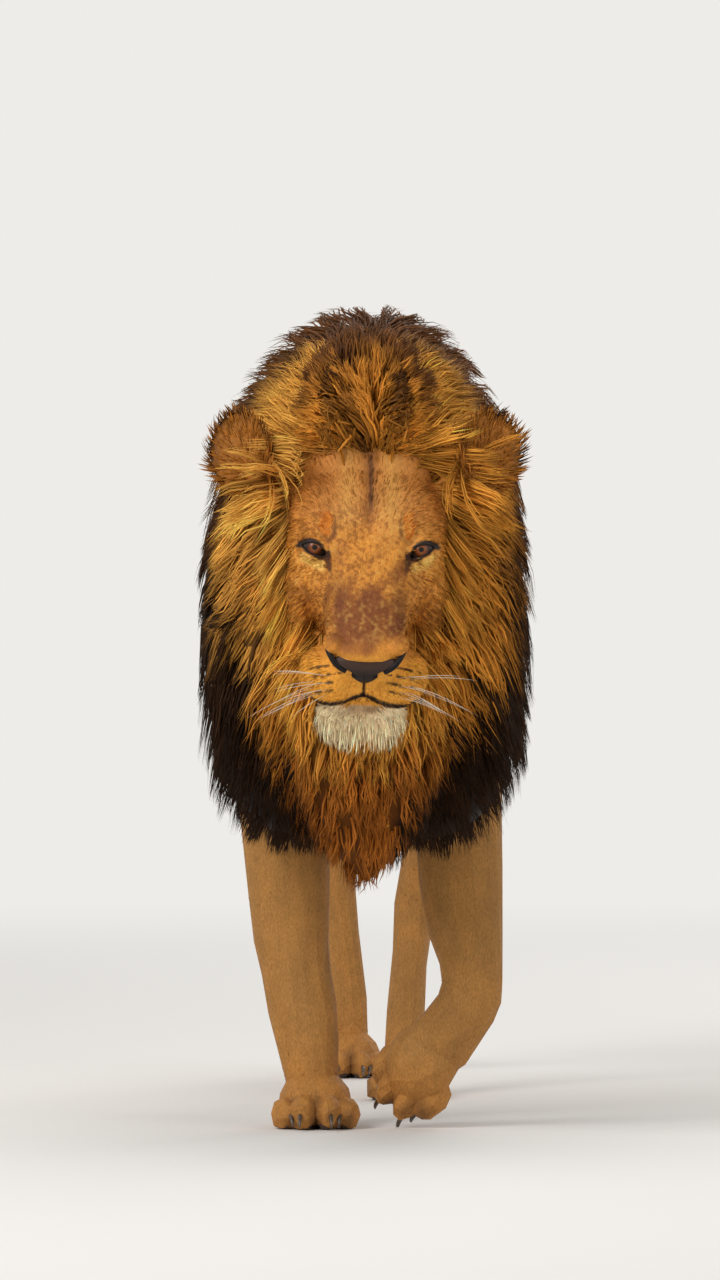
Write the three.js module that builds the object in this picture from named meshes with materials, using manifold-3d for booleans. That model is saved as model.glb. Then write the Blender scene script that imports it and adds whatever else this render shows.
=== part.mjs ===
// A walking adult male lion, life size, as a still model: three feet stand and the left forefoot is lifted.
// Millimetres, +Z up, the lion faces -Y and its left side is +X. Each flesh form is a closed tube of rounded
// sections carried along a smooth path. The forms are joined, then parted into named pieces by thin gaps.
import * as THREE from "three";
import { mergeVertices } from "three/addons/utils/BufferGeometryUtils.js";
import Module from "manifold-3d";

const wasm = await Module();
wasm.setup();

// Driving dimensions
const withersHeight = 1050; // top of the shoulders, without the mane
const unit = withersHeight / 1050; // the tables below are drawn for withers at 1050
const gap = 0.5; // clearance between neighbouring pieces
const faceMiddle = new THREE.Vector3(2.5, -950, 817).multiplyScalar(unit); // midway between the eyes
const headPitch = THREE.MathUtils.degToRad(30); // the muzzle drops this far
const headRoll = THREE.MathUtils.degToRad(2.5);
const eyeRadius = 19;
const eyeMiddle = { right: [-72.5, 1.5, 4], left: [73, 2, 6.5] }; // in the head's own frame
const forePawWidth = 124;
const hindPawWidth = 106;
const tawny = 0xb88448;
const pale = 0xd9b27a;
const gold = 0xa86f2e;
const brown = 0x5a3a1e;
const black = 0x1d1512;
const amber = 0xb4742a;

// ---- forms -----------------------------------------------------------------------------------------------

// The rows' values at t, where row i is met at t = i and the way between rows is a smooth cubic.
function between(rows, t) {
  const i = Math.min(Math.floor(t), rows.length - 2);
  const s = t - i;
  const row = (k) => rows[Math.max(0, Math.min(rows.length - 1, k))];
  return rows[0].map((_, c) => {
    const [p, a, b, q] = [i - 1, i, i + 1, i + 2].map((k) => row(k)[c]);
    const [slopeA, slopeB] = [(b - p) / 2, (q - a) / 2];
    const [s2, s3] = [s * s, s * s * s];
    const rise = 3 * s2 - 2 * s3;
    return (1 - rise) * a + rise * b + (s3 - 2 * s2 + s) * slopeA + (s3 - s2) * slopeB;
  });
}

// How far a point is pushed out by round swellings [x, y, z, reach, height], each on both sides.
function swelling(swells, point) {
  return swells.reduce((sum, [x, y, z, reach, height]) => {
    const distance = point.distanceTo(new THREE.Vector3(x * Math.sign(point.x || 1), y, z));
    return sum + height * Math.exp(-((distance / reach) ** 2));
  }, 0);
}

// A closed tube. Each row is [x, y, z, side, ahead, behind, squareAhead, squareBehind]: the half width, the
// reach to the front (or the underside) and to the back (or the top), and how square each half is, 2 being an
// ellipse.
function tube(rows, { sides = 16, steps = 1, grow = 0, locks = 0, lockDepth = 0, swells = [] } = {}) {
  const filled = rows.map((r) => [...r, ...[2.2, 2.2].slice(Math.max(0, r.length - 6))].slice(0, 8));
  const last = filled.length - 1;
  const count = last * steps + 1;
  const centre = (t) => new THREE.Vector3(...between(filled, Math.max(0, Math.min(last, t))));
  const points = [];
  for (let k = 0; k < count; k++) {
    const t = k / steps;
    const [, , , side, ahead, behind, squareAhead, squareBehind] = between(filled, t);
    const along = centre(t + 0.01).sub(centre(t - 0.01)).normalize();
    const across = new THREE.Vector3(1, 0, 0).addScaledVector(along, -along.x).normalize();
    const up = new THREE.Vector3().crossVectors(across, along);
    const end = k === 0 ? -1 : k === count - 1 ? 1 : 0;
    const middle = centre(t).addScaledVector(along, end * grow);
    for (let j = 0; j < sides; j++) {
      const angle = (2 * Math.PI * j) / sides;
      const [c, s] = [Math.cos(angle), Math.sin(angle)];
      const power = 2 / (s < 0 ? squareAhead : squareBehind);
      const wave = 1 + (end ? 0 : (lockDepth / side) * Math.sin(locks * angle + 2.3 * k));
      const reach = (s < 0 ? ahead : behind) * wave + grow;
      const point = middle
        .clone()
        .addScaledVector(across, Math.sign(c) * Math.abs(c) ** power * (side * wave + grow))
        .addScaledVector(up, Math.sign(s) * Math.abs(s) ** power * reach);
      const outward = point.clone().sub(middle).normalize();
      points.push(point.addScaledVector(outward, swelling(swells, point)));
    }
    if (end) points.push(middle.clone());
  }
  // Points run ring by ring, with the first ring's middle after it and the last ring's middle at the end.
  const ring = (k, j) => (k === 0 ? 0 : k * sides + 1) + (j % sides);
  const faces = [];
  for (let k = 0; k < count - 1; k++)
    for (let j = 0; j < sides; j++) {
      const [a, b, c, d] = [ring(k, j), ring(k + 1, j), ring(k + 1, j + 1), ring(k, j + 1)];
      faces.push(a, b, c, a, c, d);
    }
  for (let j = 0; j < sides; j++) {
    faces.push(ring(0, j), ring(0, j + 1), sides);
    faces.push(ring(count - 1, j + 1), ring(count - 1, j), points.length - 1);
  }
  return new THREE.BufferGeometry().setFromPoints(points).setIndex(faces).scale(unit, unit, unit);
}

// A ball stretched to three radii, turned about X, Y and Z in degrees, then placed.
function ball(at, radii, { turn = [0, 0, 0], around = 10, down = 6, grow = 0 } = {}) {
  const turned = new THREE.Euler(...turn.map(THREE.MathUtils.degToRad));
  return new THREE.SphereGeometry(1, around, down)
    .rotateX(Math.PI / 2)
    .scale(...radii.map((r) => r + grow))
    .applyMatrix4(new THREE.Matrix4().makeRotationFromEuler(turned))
    .translate(...at)
    .scale(unit, unit, unit);
}

// A placement whose -Y axis points forward and whose Z axis leans upward, as near as squareness allows.
function pose(at, forward, upward) {
  const y = new THREE.Vector3(...forward).normalize().negate();
  const x = new THREE.Vector3().crossVectors(y, new THREE.Vector3(...upward)).normalize();
  const z = new THREE.Vector3().crossVectors(x, y);
  return new THREE.Matrix4().makeBasis(x, y, z).setPosition(new THREE.Vector3(...at).multiplyScalar(unit));
}

// ---- solids ----------------------------------------------------------------------------------------------

function solid(geometry) {
  const bare = geometry.clone();
  bare.deleteAttribute("normal");
  bare.deleteAttribute("uv");
  const merged = mergeVertices(bare, 1e-3);
  return new wasm.Manifold(
    new wasm.Mesh({
      numProp: 3,
      vertProperties: merged.attributes.position.array,
      triVerts: new Uint32Array(merged.index.array),
    }),
  );
}

const join = (...solids) => solids.reduce((whole, s) => whole.add(s));
const cut = (whole, ...tools) => tools.reduce((left, s) => left.subtract(s), whole);
const largest = (s) => s.decompose().sort((a, b) => b.volume() - a.volume())[0];

// The two sides of a plane through a point, with the gap between them: first the side the normal points to.
function part(whole, point, normal) {
  const n = new THREE.Vector3(...normal).normalize();
  const offset = n.dot(new THREE.Vector3(...point)) * unit;
  const back = n.clone().negate();
  const side = (way, distance) => whole.trimByPlane(way.toArray(), distance + gap / 2);
  return [side(n, offset), side(back, -offset)];
}

const lion = new THREE.Group();

function place(name, shape, color, roughness = 0.8) {
  const mesh = largest(shape).getMesh();
  const geometry = new THREE.BufferGeometry()
    .setAttribute("position", new THREE.BufferAttribute(new Float32Array(mesh.vertProperties), 3))
    .setIndex(new THREE.BufferAttribute(new Uint32Array(mesh.triVerts), 1));
  const piece = new THREE.Mesh(geometry, new THREE.MeshStandardMaterial({ color, roughness, metalness: 0 }));
  piece.name = name;
  lion.add(piece);
}

// ---- head, drawn level with the middle of the face at the origin, then pitched and rolled -----------------

const headTurn = new THREE.Matrix4().makeRotationFromEuler(new THREE.Euler(headPitch, headRoll, 0));
const headPose = headTurn.clone().setPosition(faceMiddle);
const atHead = (geometry) => solid(geometry.applyMatrix4(headPose));

const skullRows = [
  [0, -165, -86, 42, 32, 22, 2.6, 2.8],
  [0, -138, -76, 52, 50, 32, 2.8, 3],
  [0, -97, -62, 58, 70, 42, 3, 3],
  [0, -58, -49, 66, 92, 50, 3.2, 3],
  [0, -30, -42, 78, 100, 60, 3.2, 2.6],
  [0, -6, -37, 95, 110, 68, 3.4, 2.4],
  [0, 16, -34, 108, 118, 79, 3.4, 2.4],
  [0, 42, -31, 118, 124, 90, 3.2, 2.3],
  [0, 80, -26, 122, 124, 101, 3, 2.2],
  [0, 130, -20, 110, 116, 105, 2.4, 2.1],
  [0, 170, -15, 88, 92, 88, 2, 2],
  [0, 202, -12, 45, 55, 48, 2, 2],
];
const skullSwells = [
  [74, -12, 2, 23, -15], // eye socket
  [56, -10, 34, 22, 7], // brow
  [84, -12, -40, 28, 6], // cheekbone
  [0, -12, 34, 28, -5], // dip between the eyes
  [104, 70, -6, 34, -8], // hollow of the temple
];
const skullForm = (grow, sides = 16) => atHead(tube(skullRows, { sides, grow, swells: skullSwells }));

// The upper lips, one each side of the groove under the nose.
const lipForms = (grow) =>
  [-1, 1].map((s) => atHead(ball([43 * s, -110, -128], [47, 58, 42], { around: 8, down: 5, grow })));

const jawRows = [
  [0, -148, -196, 42, 16, 28, 2.2, 2.6],
  [0, -128, -199, 62, 33, 46, 2.2, 3],
  [0, -82, -190, 70, 36, 54, 2.2, 3],
  [0, -32, -170, 84, 40, 60, 2.2, 3],
  [0, 40, -134, 98, 46, 62],
];
const jawForm = (grow) => atHead(tube(jawRows, { sides: 12, grow }));

const noseRows = [
  [0, -156, -66, 34, 9, 14],
  [0, -160, -75, 43, 14, 12, 2.6],
  [0, -161, -84, 37, 16, 12, 2.6],
  [0, -160, -95, 20, 14, 12],
  [0, -155, -104, 7, 10, 12],
];
const noseForm = (grow) => atHead(tube(noseRows, { sides: 12, grow }));

const eyeForm = (side, grow) => atHead(ball(eyeMiddle[side], Array(3).fill(eyeRadius), { down: 5, grow }));

const wholeHead = (grow) => join(skullForm(grow), ...lipForms(grow), jawForm(grow));

// An ear is a thick rounded leaf on a short root, hollowed in front, that stands out sideways from the crown.
function earForm(s, grow) {
  const earPose = pose([167 * s, -868, 952], [0.42 * s, -0.9, 0.1], [0.42 * s, 0.1, 1]);
  const leaf = solid(ball([0, 0, 0], [50, 22, 62], { around: 8, down: 5, grow }).applyMatrix4(earPose));
  const rootTurn = [0, 50 * s, 0];
  const root = solid(ball([122 * s, -858, 902], [30, 28, 62], { turn: rootTurn, around: 6, down: 4, grow }));
  const hollow = solid(ball([4 * s, -26, 4], [36, 27, 47], { around: 8, down: 5 }).applyMatrix4(earPose));
  return grow > 0 ? join(leaf, root) : cut(join(leaf, root), hollow);
}

// ---- trunk and neck ---------------------------------------------------------------------------------------

const trunkRows = [
  [0, -650, 790, 105, 120, 125],
  [0, -565, 785, 160, 205, 200],
  [0, -460, 780, 182, 252, 255],
  [0, -340, 772, 190, 265, 268],
  [0, -180, 755, 198, 252, 248],
  [0, 0, 752, 204, 238, 236],
  [0, 180, 768, 194, 208, 230],
  [0, 330, 800, 176, 192, 216],
  [0, 470, 822, 156, 196, 188],
  [0, 580, 825, 116, 162, 146],
  [0, 635, 815, 68, 110, 105],
  [0, 658, 808, 34, 60, 60],
];
const neckRows = [
  [0, -830, 862, 70, 85, 80],
  [0, -760, 850, 102, 128, 122],
  [0, -670, 832, 128, 165, 165],
  [0, -560, 812, 155, 205, 205],
];
const trunkForm = (grow) => solid(tube(trunkRows, { sides: 12, grow }));
const neckForm = (grow) => solid(tube(neckRows, { sides: 12, grow }));

// ---- legs: rows run from the shoulder or hip down to the foot, drawn for a left leg ----------------------

const standingFore = [
  [92, -400, 985, 30, 55, 55],
  [130, -425, 900, 48, 92, 100],
  [146, -452, 800, 56, 118, 128],
  [146, -458, 700, 60, 120, 128],
  [136, -445, 600, 64, 98, 104],
  [126, -438, 520, 66, 88, 92],
  [116, -440, 440, 67, 78, 80],
  [109, -445, 355, 65, 68, 68],
  [105, -450, 272, 60, 60, 56],
  [97, -455, 215, 55, 56, 52],
  [86, -462, 150, 54, 52, 52],
  [72, -478, 46, 40, 42, 40],
];
const liftedFore = [
  [92, -405, 985, 30, 55, 55],
  [130, -440, 900, 48, 92, 100],
  [144, -470, 800, 56, 118, 128],
  [142, -480, 700, 60, 118, 128],
  [136, -470, 610, 64, 98, 102],
  [132, -470, 530, 66, 90, 92],
  [130, -485, 450, 67, 78, 78],
  [132, -508, 365, 66, 68, 68],
  [138, -532, 290, 60, 59, 56],
  [147, -544, 238, 51, 55, 52],
  [147, -543, 186, 49, 52, 50],
  [122, -534, 144, 50, 47, 46],
  [100, -524, 116, 54, 42, 42],
];
const forwardHind = [
  [66, 445, 930, 24, 70, 60],
  [90, 425, 860, 42, 124, 116],
  [113, 384, 770, 58, 140, 146],
  [123, 325, 685, 62, 128, 150],
  [118, 278, 600, 55, 108, 128],
  [105, 268, 505, 45, 84, 102],
  [90, 292, 405, 37, 62, 70],
  [78, 318, 320, 34, 48, 56],
  [71, 322, 268, 36, 46, 54],
  [64, 278, 190, 32, 40, 42],
  [58, 218, 112, 34, 40, 42],
  [54, 160, 42, 34, 32, 32],
];
const rearHind = [
  [66, 470, 930, 24, 70, 58],
  [90, 460, 860, 42, 124, 110],
  [111, 446, 770, 58, 150, 132],
  [117, 432, 685, 60, 134, 132],
  [109, 430, 605, 54, 108, 118],
  [92, 475, 515, 44, 82, 90],
  [73, 540, 425, 37, 62, 64],
  [57, 602, 350, 34, 48, 54],
  [46, 632, 300, 36, 46, 52],
  [35, 658, 212, 32, 40, 42],
  [27, 682, 130, 34, 40, 42],
  [24, 682, 42, 34, 32, 34],
];
const mirrored = (rows) => rows.map(([x, ...rest]) => [-x, ...rest]);

// A paw, drawn 124 wide on the ground: two middle toes lead, and toes and pad are flat underneath.
function pawForm(width, placement, grow) {
  const w = width / 124;
  const blob = ([x, y, z], radii, [around, down], turn = 0) =>
    ball([x * w, y * w, z * w], radii.map((r) => r * w), { turn: [0, 0, turn], around, down, grow });
  const toes = [-1, 1].flatMap((s) => [
    blob([17 * s, -56, 23], [21, 37, 30], [5, 4], 3 * s),
    blob([45 * s, -38, 20], [21, 35, 27], [5, 4], -9 * s),
  ]);
  const pad = blob([0, 2, 36], [55, 62, 46], [8, 5]);
  const paw = join(...[pad, ...toes].map(solid));
  return paw.trimByPlane([0, 0, 1], -grow).transform(placement.elements);
}

const legs = [
  {
    name: "foreleg_right",
    rows: mirrored(standingFore),
    paw: (grow) => pawForm(forePawWidth, pose([-70, -486, 0], [0, -1, 0], [0, 0, 1]), grow),
    cuts: [
      ["upper", [0, 0, 530], [0, 0, 1]],
      ["lower", [0, 0, 95], [0, 0, 1]],
    ],
  },
  {
    name: "foreleg_left",
    rows: liftedFore,
    paw: (grow) => {
      const hanging = pose([92, -484, 90], [-0.6, 0.12, -0.79], [-0.35, -0.9, 0.14]);
      return pawForm(forePawWidth, hanging, grow);
    },
    cuts: [
      ["upper", [0, 0, 530], [0, 0, 1]],
      ["lower", [124, -534, 146], [0.6, -0.1, 0.75]],
    ],
  },
  {
    name: "hindleg_left",
    rows: forwardHind,
    paw: (grow) => pawForm(hindPawWidth, pose([53, 138, 0], [0, -1, 0], [0, 0, 1]), grow),
    cuts: [
      ["thigh", [0, 270, 590], [0, -0.15, 1]],
      ["shank", [0, 322, 268], [0, 0.35, 1]],
      ["foot", [0, 0, 80], [0, 0, 1]],
    ],
  },
  {
    name: "hindleg_right",
    rows: mirrored(rearHind),
    paw: (grow) => pawForm(hindPawWidth, pose([-22, 668, 0], [0, -1, 0], [0, 0, 1]), grow),
    cuts: [
      ["thigh", [0, 430, 600], [0, -0.4, 1]],
      ["shank", [0, 632, 300], [0, -0.2, 1]],
      ["foot", [0, 0, 80], [0, 0, 1]],
    ],
  },
];
const legForm = (leg, grow) => join(solid(tube(leg.rows, { sides: 8, grow })), leg.paw(grow));

// ---- mane -------------------------------------------------------------------------------------------------

const maneRows = [
  [0, -898, 700, 116, 105, 240],
  [0, -874, 700, 176, 190, 296, 2.8, 2.3],
  [0, -838, 700, 212, 262, 350, 3.4, 2.4],
  [0, -780, 700, 226, 306, 394, 4, 2.4],
  [0, -710, 700, 233, 324, 426, 4, 2.4],
  [0, -620, 700, 235, 326, 444, 4, 2.4],
  [0, -520, 700, 234, 312, 450, 3.6, 2.4],
  [0, -420, 702, 230, 284, 438, 3, 2.4],
  [0, -320, 710, 223, 255, 392, 2.6, 2.3],
  [0, -235, 720, 214, 232, 332],
  [0, -170, 730, 198, 218, 268],
];
const beardRows = [
  [0, -922, 640, 105, 35, 80],
  [0, -935, 590, 112, 42, 100],
  [0, -926, 520, 106, 48, 110],
  [0, -898, 450, 92, 48, 110],
  [0, -852, 395, 66, 40, 90],
  [0, -820, 358, 28, 22, 40],
];
const crestRows = [
  [0, -888, 925, 96, 22, 40],
  [0, -878, 975, 110, 28, 60],
  [0, -842, 1030, 104, 32, 70],
  [0, -792, 1076, 80, 30, 60],
  [0, -748, 1106, 40, 18, 30],
];
const bellyFringeRows = [
  [0, -420, 470, 100, 60, 60],
  [0, -280, 470, 90, 52, 60],
  [0, -120, 478, 74, 40, 60],
  [0, 30, 492, 52, 26, 55],
  [0, 130, 512, 26, 12, 40],
];

// ---- tail -------------------------------------------------------------------------------------------------

const tailRows = [
  [0, 590, 925, 40, 44, 40],
  [4, 660, 905, 34, 36, 34],
  [14, 715, 850, 30, 30, 30],
  [28, 748, 760, 25, 25, 25],
  [46, 765, 650, 22, 22, 22],
  [66, 780, 540, 19, 19, 19],
  [82, 802, 440, 17, 17, 17],
  [92, 838, 362, 15, 15, 15],
];
const tuftRows = [
  [91, 832, 368, 15, 15, 15],
  [96, 862, 325, 28, 28, 28],
  [100, 905, 292, 36, 34, 34],
  [103, 955, 275, 32, 28, 28],
  [105, 1005, 272, 15, 12, 12],
  [106, 1028, 273, 4, 4, 4],
];
const tailForm = (grow) => solid(tube(tailRows, { sides: 8, grow }));
const tuftForm = (grow) => solid(tube(tuftRows, { sides: 10, grow }));

// ---- the pieces -------------------------------------------------------------------------------------------

function placeHead() {
  const face = join(skullForm(0), ...lipForms(0));
  const upperHead = cut(face, eyeForm("right", gap), eyeForm("left", gap), noseForm(gap));
  const forward = new THREE.Vector3(0, -1, 0).applyMatrix4(headTurn);
  const muzzleRoot = new THREE.Vector3(0, -66, 0).applyMatrix4(headPose).divideScalar(unit);
  const [muzzle, head] = part(upperHead, muzzleRoot.toArray(), forward.toArray());
  place("head", head, tawny);
  place("muzzle", muzzle, tawny);
  place("lower_jaw", cut(jawForm(0), skullForm(gap), ...lipForms(gap)), pale);
  place("nose", noseForm(0), black, 0.45);
  for (const [side, s] of Object.entries({ right: -1, left: 1 })) {
    place(`eye_${side}`, eyeForm(side, 0), amber, 0.1);
    place(`ear_${side}`, cut(earForm(s, 0), skullForm(gap)), tawny);
  }
}

function placeTrunk() {
  const trunk = cut(trunkForm(0), ...legs.map((leg) => legForm(leg, gap)), tailForm(gap));
  const [hindquarters, front] = part(trunk, [0, 250, 0], [0, 1, 0]);
  const [belly, first] = part(front, [0, -150, 0], [0, 1, 0]);
  const [chest] = part(first, [0, -600, 0], [0, 1, 0]);
  const shoulders = legs.slice(0, 2).map((leg) => legForm(leg, gap));
  const [, neck] = part(cut(neckForm(0), wholeHead(gap), ...shoulders), [0, -600, 0], [0, 1, 0]);
  place("neck", neck, tawny);
  place("chest", chest, tawny);
  place("belly", belly, tawny);
  place("hindquarters", hindquarters, tawny);
}

function placeLegs() {
  for (const leg of legs) {
    let rest = legForm(leg, 0);
    for (const [piece, point, normal] of leg.cuts) {
      const [above, below] = part(rest, point, normal);
      place(`${leg.name}_${piece}`, above, tawny);
      rest = below;
    }
    place(`${leg.name}_paw`, rest, pale);
  }
}

function placeTail() {
  const [base, lower] = part(tailForm(0), [0, 0, 800], [0, 0, 1]);
  const [middle, end] = part(lower, [0, 0, 560], [0, 0, 1]);
  place("tail_base", base, tawny);
  place("tail_middle", middle, tawny);
  place("tail_end", cut(end, tuftForm(gap)), tawny);
  place("tail_tuft", tuftForm(0), black, 0.95);
}

function placeMane() {
  const flesh = [
    skullForm(9, 12),
    ...lipForms(gap),
    jawForm(gap),
    neckForm(gap),
    trunkForm(gap),
    ...legs.map((leg) => legForm(leg, gap)),
    ...[-1, 1].map((s) => earForm(s, gap)),
  ];
  const maneForm = (grow) => solid(tube(maneRows, { sides: 16, locks: 5, lockDepth: 5, grow }));
  const beard = solid(tube(beardRows, { sides: 12, locks: 3, lockDepth: 3 }));
  const crest = solid(tube(crestRows, { sides: 12, locks: 3, lockDepth: 4 }));
  const fringe = solid(tube(bellyFringeRows, { sides: 10 }));
  const [withers, lower] = part(cut(maneForm(0), ...flesh), [0, 0, 955], [0, 0, 1]);
  const [ruff, breast] = part(lower, [0, 0, 530], [0, 0, 1]);
  const [left, right] = part(ruff, [0, 0, 0], [1, 0, 0]);
  place("mane_withers", withers, brown, 0.95);
  place("mane_left", left, gold, 0.95);
  place("mane_right", right, gold, 0.95);
  place("mane_breast", breast, black, 0.95);
  place("mane_beard", cut(beard, maneForm(gap), ...flesh), gold, 0.95);
  place("mane_crest", cut(crest, maneForm(gap), ...flesh), gold, 0.95);
  place("mane_belly", cut(fringe, maneForm(gap), ...flesh), black, 0.95);
}

placeHead();
placeTrunk();
placeLegs();
placeTail();
placeMane();

// The origin is under the middle of the lion, on the ground.
const bounds = new THREE.Box3().setFromObject(lion);
const middle = bounds.getCenter(new THREE.Vector3());
lion.position.set(-middle.x, -middle.y, -bounds.min.z);

export default lion;
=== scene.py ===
import math

import bpy
import numpy as np
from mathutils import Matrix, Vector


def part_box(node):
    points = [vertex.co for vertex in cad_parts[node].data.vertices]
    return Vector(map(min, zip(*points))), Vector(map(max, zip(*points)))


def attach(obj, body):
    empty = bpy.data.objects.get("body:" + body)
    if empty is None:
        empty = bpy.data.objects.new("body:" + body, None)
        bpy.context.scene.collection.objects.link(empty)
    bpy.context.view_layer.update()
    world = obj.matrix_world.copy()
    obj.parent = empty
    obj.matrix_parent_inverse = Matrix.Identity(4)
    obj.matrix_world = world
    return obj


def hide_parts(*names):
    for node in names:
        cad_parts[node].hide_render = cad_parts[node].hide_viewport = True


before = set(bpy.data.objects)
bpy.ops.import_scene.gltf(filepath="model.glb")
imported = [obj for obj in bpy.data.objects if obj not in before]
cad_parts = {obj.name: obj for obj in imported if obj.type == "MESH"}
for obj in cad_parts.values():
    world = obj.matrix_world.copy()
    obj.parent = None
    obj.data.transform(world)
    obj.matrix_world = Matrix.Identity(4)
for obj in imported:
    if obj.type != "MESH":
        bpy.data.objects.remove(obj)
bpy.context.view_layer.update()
bpy.context.scene.view_settings.view_transform = "Standard"

# A walking male lion. Lengths in the tables are millimetres, in the lion's own drawing frame: it faces -Y,
# +Z is up and its left side is +X. Every mesh is moved into the frame's place as it is made.
mm = 0.001
halfGap = 0.00025
shift = np.array([
    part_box("mane_left")[0].x - halfGap,
    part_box("belly")[0].y + 0.15 - halfGap,
    0.0,
])


def linear(red, green, blue):  # a display colour, 0 to 255, as the renderer's linear one
    c = np.array([red, green, blue], float) / 255
    return np.where(c <= 0.04045, c / 12.92, ((c + 0.055) / 1.055) ** 2.4)


def unitOf(vectors):
    return vectors / np.maximum(np.linalg.norm(vectors, axis=-1, keepdims=True), 1e-9)


def dot(a, b):
    return np.sum(a * b, axis=-1, keepdims=True)


def ramp(values, low, high):  # 0 at low and 1 at high, with a soft start and end
    t = np.clip((values - low) / (high - low), 0, 1)
    return t * t * (3 - 2 * t)


def mixed(a, b, share):
    share = np.asarray(share)[..., None] if np.ndim(share) and np.ndim(share) < np.ndim(a) else share
    return a * (1 - share) + b * share


waveRng = np.random.default_rng(21)
waveWays = unitOf(waveRng.normal(size=(6, 10, 3)))
wavePhases = waveRng.uniform(0, 2 * math.pi, (6, 10))
waveSpans = waveRng.uniform(0.7, 1.5, (6, 10))


def ripple(points, length, kind=0):  # a smooth random value, about -1 to 1, that turns over in this length
    k = 2 * math.pi / (length * waveSpans[kind])
    return np.sin(points @ (waveWays[kind] * k[:, None]).T + wavePhases[kind]).sum(-1) / 3.2


def filled(rows, square=2.2):  # every row as eight numbers
    return np.array([list(r) + [square] * (8 - len(r)) for r in rows], float)


def between(rows, t):  # a cubic through the rows, its slope at a row half the way between the neighbours
    i = np.clip(np.floor(t).astype(int), 0, len(rows) - 2)
    s = (t - i)[..., None]
    a, b = rows[i], rows[i + 1]
    slopeA = (b - rows[np.maximum(i - 1, 0)]) / 2
    slopeB = (rows[np.minimum(i + 2, len(rows) - 1)] - a) / 2
    rise = s * s * (3 - 2 * s)
    return (1 - rise) * a + rise * b + s * (1 - s) ** 2 * slopeA - s * s * (1 - s) * slopeB


def ringAt(rows, t):  # past either end the section stays and its middle goes straight on
    inside = np.clip(t, 0, len(rows) - 1)
    ring = between(rows, inside)
    ahead = np.where((t < 0)[..., None], rows[1, :3] - rows[0, :3], rows[-1, :3] - rows[-2, :3])
    ring[..., :3] += (t - inside)[..., None] * ahead
    return ring


# The point at (t, angle): middle + across * side * |cos|^(2/p) + up * reach * |sin|^(2/p)
def onTube(rows, t, angle, grow=0.0):
    ring = ringAt(rows, t)
    along = unitOf(ringAt(rows, t + 0.01)[..., :3] - ringAt(rows, t - 0.01)[..., :3])
    across = unitOf(np.array([1.0, 0, 0]) - along * along[..., :1])
    up = np.cross(across, along)
    c, s = np.cos(angle), np.sin(angle)
    power = 2 / np.where(s < 0, ring[..., 6], ring[..., 7])
    side = np.sign(c) * np.abs(c) ** power * (ring[..., 3] + grow)
    reach = np.sign(s) * np.abs(s) ** power * (np.where(s < 0, ring[..., 4], ring[..., 5]) + grow)
    return ring[..., :3] + across * side[..., None] + up * reach[..., None]


def ringFaces(count, around):  # the quads between closed rings that follow each other
    k, j = np.meshgrid(np.arange(count - 1), np.arange(around), indexing="ij")
    n, here, after = (j + 1) % around, k * around, (k + 1) * around
    return np.stack([here + j, after + j, after + n, here + n], -1).reshape(-1, 4)


def closedRings(rings, tips):  # a form of rings whose first and last one close on a point
    count, around = rings.shape[:2]
    j = np.arange(around)
    n, last, tip = (j + 1) % around, (count - 1) * around, np.full(around, count * around)
    caps = np.concatenate([np.stack([j, n, tip], -1), np.stack([last + n, last + j, tip + 1], -1)])
    return np.concatenate([rings.reshape(-1, 3), tips]), ringFaces(count, around), caps


def tubeMesh(rows, sides=48, steps=6, grow=0.0):  # the whole tube, closed on the middle of either end
    rows = filled(rows)
    count = (len(rows) - 1) * steps + 1
    t, angle = np.meshgrid(np.arange(count) / steps, np.arange(sides) * 2 * math.pi / sides, indexing="ij")
    rings = onTube(rows, t, angle, grow)
    return closedRings(rings, rings[[0, -1]].mean(1))


# The point at (v, u): radii * (sin v cos u, sin v sin u, cos v), turned and moved to its middle
def ballMesh(at, radii, turn=np.eye(3), around=40, down=24):
    v, u = np.meshgrid(np.linspace(0, math.pi, down + 1)[1:-1], np.arange(around) * 2 * math.pi / around,
                       indexing="ij")
    rings = np.stack([np.sin(v) * np.cos(u), np.sin(v) * np.sin(u), np.cos(v)], -1)
    points, quads, caps = closedRings(rings, [[0, 0, 1], [0, 0, -1]])
    return points * np.array(radii) @ turn.T + np.array(at), quads, caps


def turned(x=0.0, y=0.0, z=0.0):  # the turn about X, then Y, then Z as a matrix product Rx Ry Rz, in degrees
    a, b, c = np.radians([x, y, z])
    rx = np.array([[1, 0, 0], [0, math.cos(a), -math.sin(a)], [0, math.sin(a), math.cos(a)]])
    ry = np.array([[math.cos(b), 0, math.sin(b)], [0, 1, 0], [-math.sin(b), 0, math.cos(b)]])
    rz = np.array([[math.cos(c), -math.sin(c), 0], [math.sin(c), math.cos(c), 0], [0, 0, 1]])
    return rx @ ry @ rz


def facing(forward, upward):  # the turn whose -Y points forward and whose Z leans upward
    y = -unitOf(np.array(forward, float))
    x = unitOf(np.cross(y, np.array(upward, float)))
    return np.stack([x, y, np.cross(x, y)], 1)


def moved(form, turn, at):
    return form[0] @ turn.T + np.array(at, float), *form[1:]


def together(forms):  # several forms as one, their faces' numbers moved on
    starts = np.cumsum([0] + [len(form[0]) for form in forms])
    faces = [np.concatenate([form[kind] + start for form, start in zip(forms, starts)]) for kind in (1, 2)]
    return np.concatenate([form[0] for form in forms]), *faces


def moveTo(mesh, points):  # points in the drawing frame, in mm
    mesh.vertices.foreach_set("co", (points * mm + shift).astype(np.float32).ravel())
    mesh.update()


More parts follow.
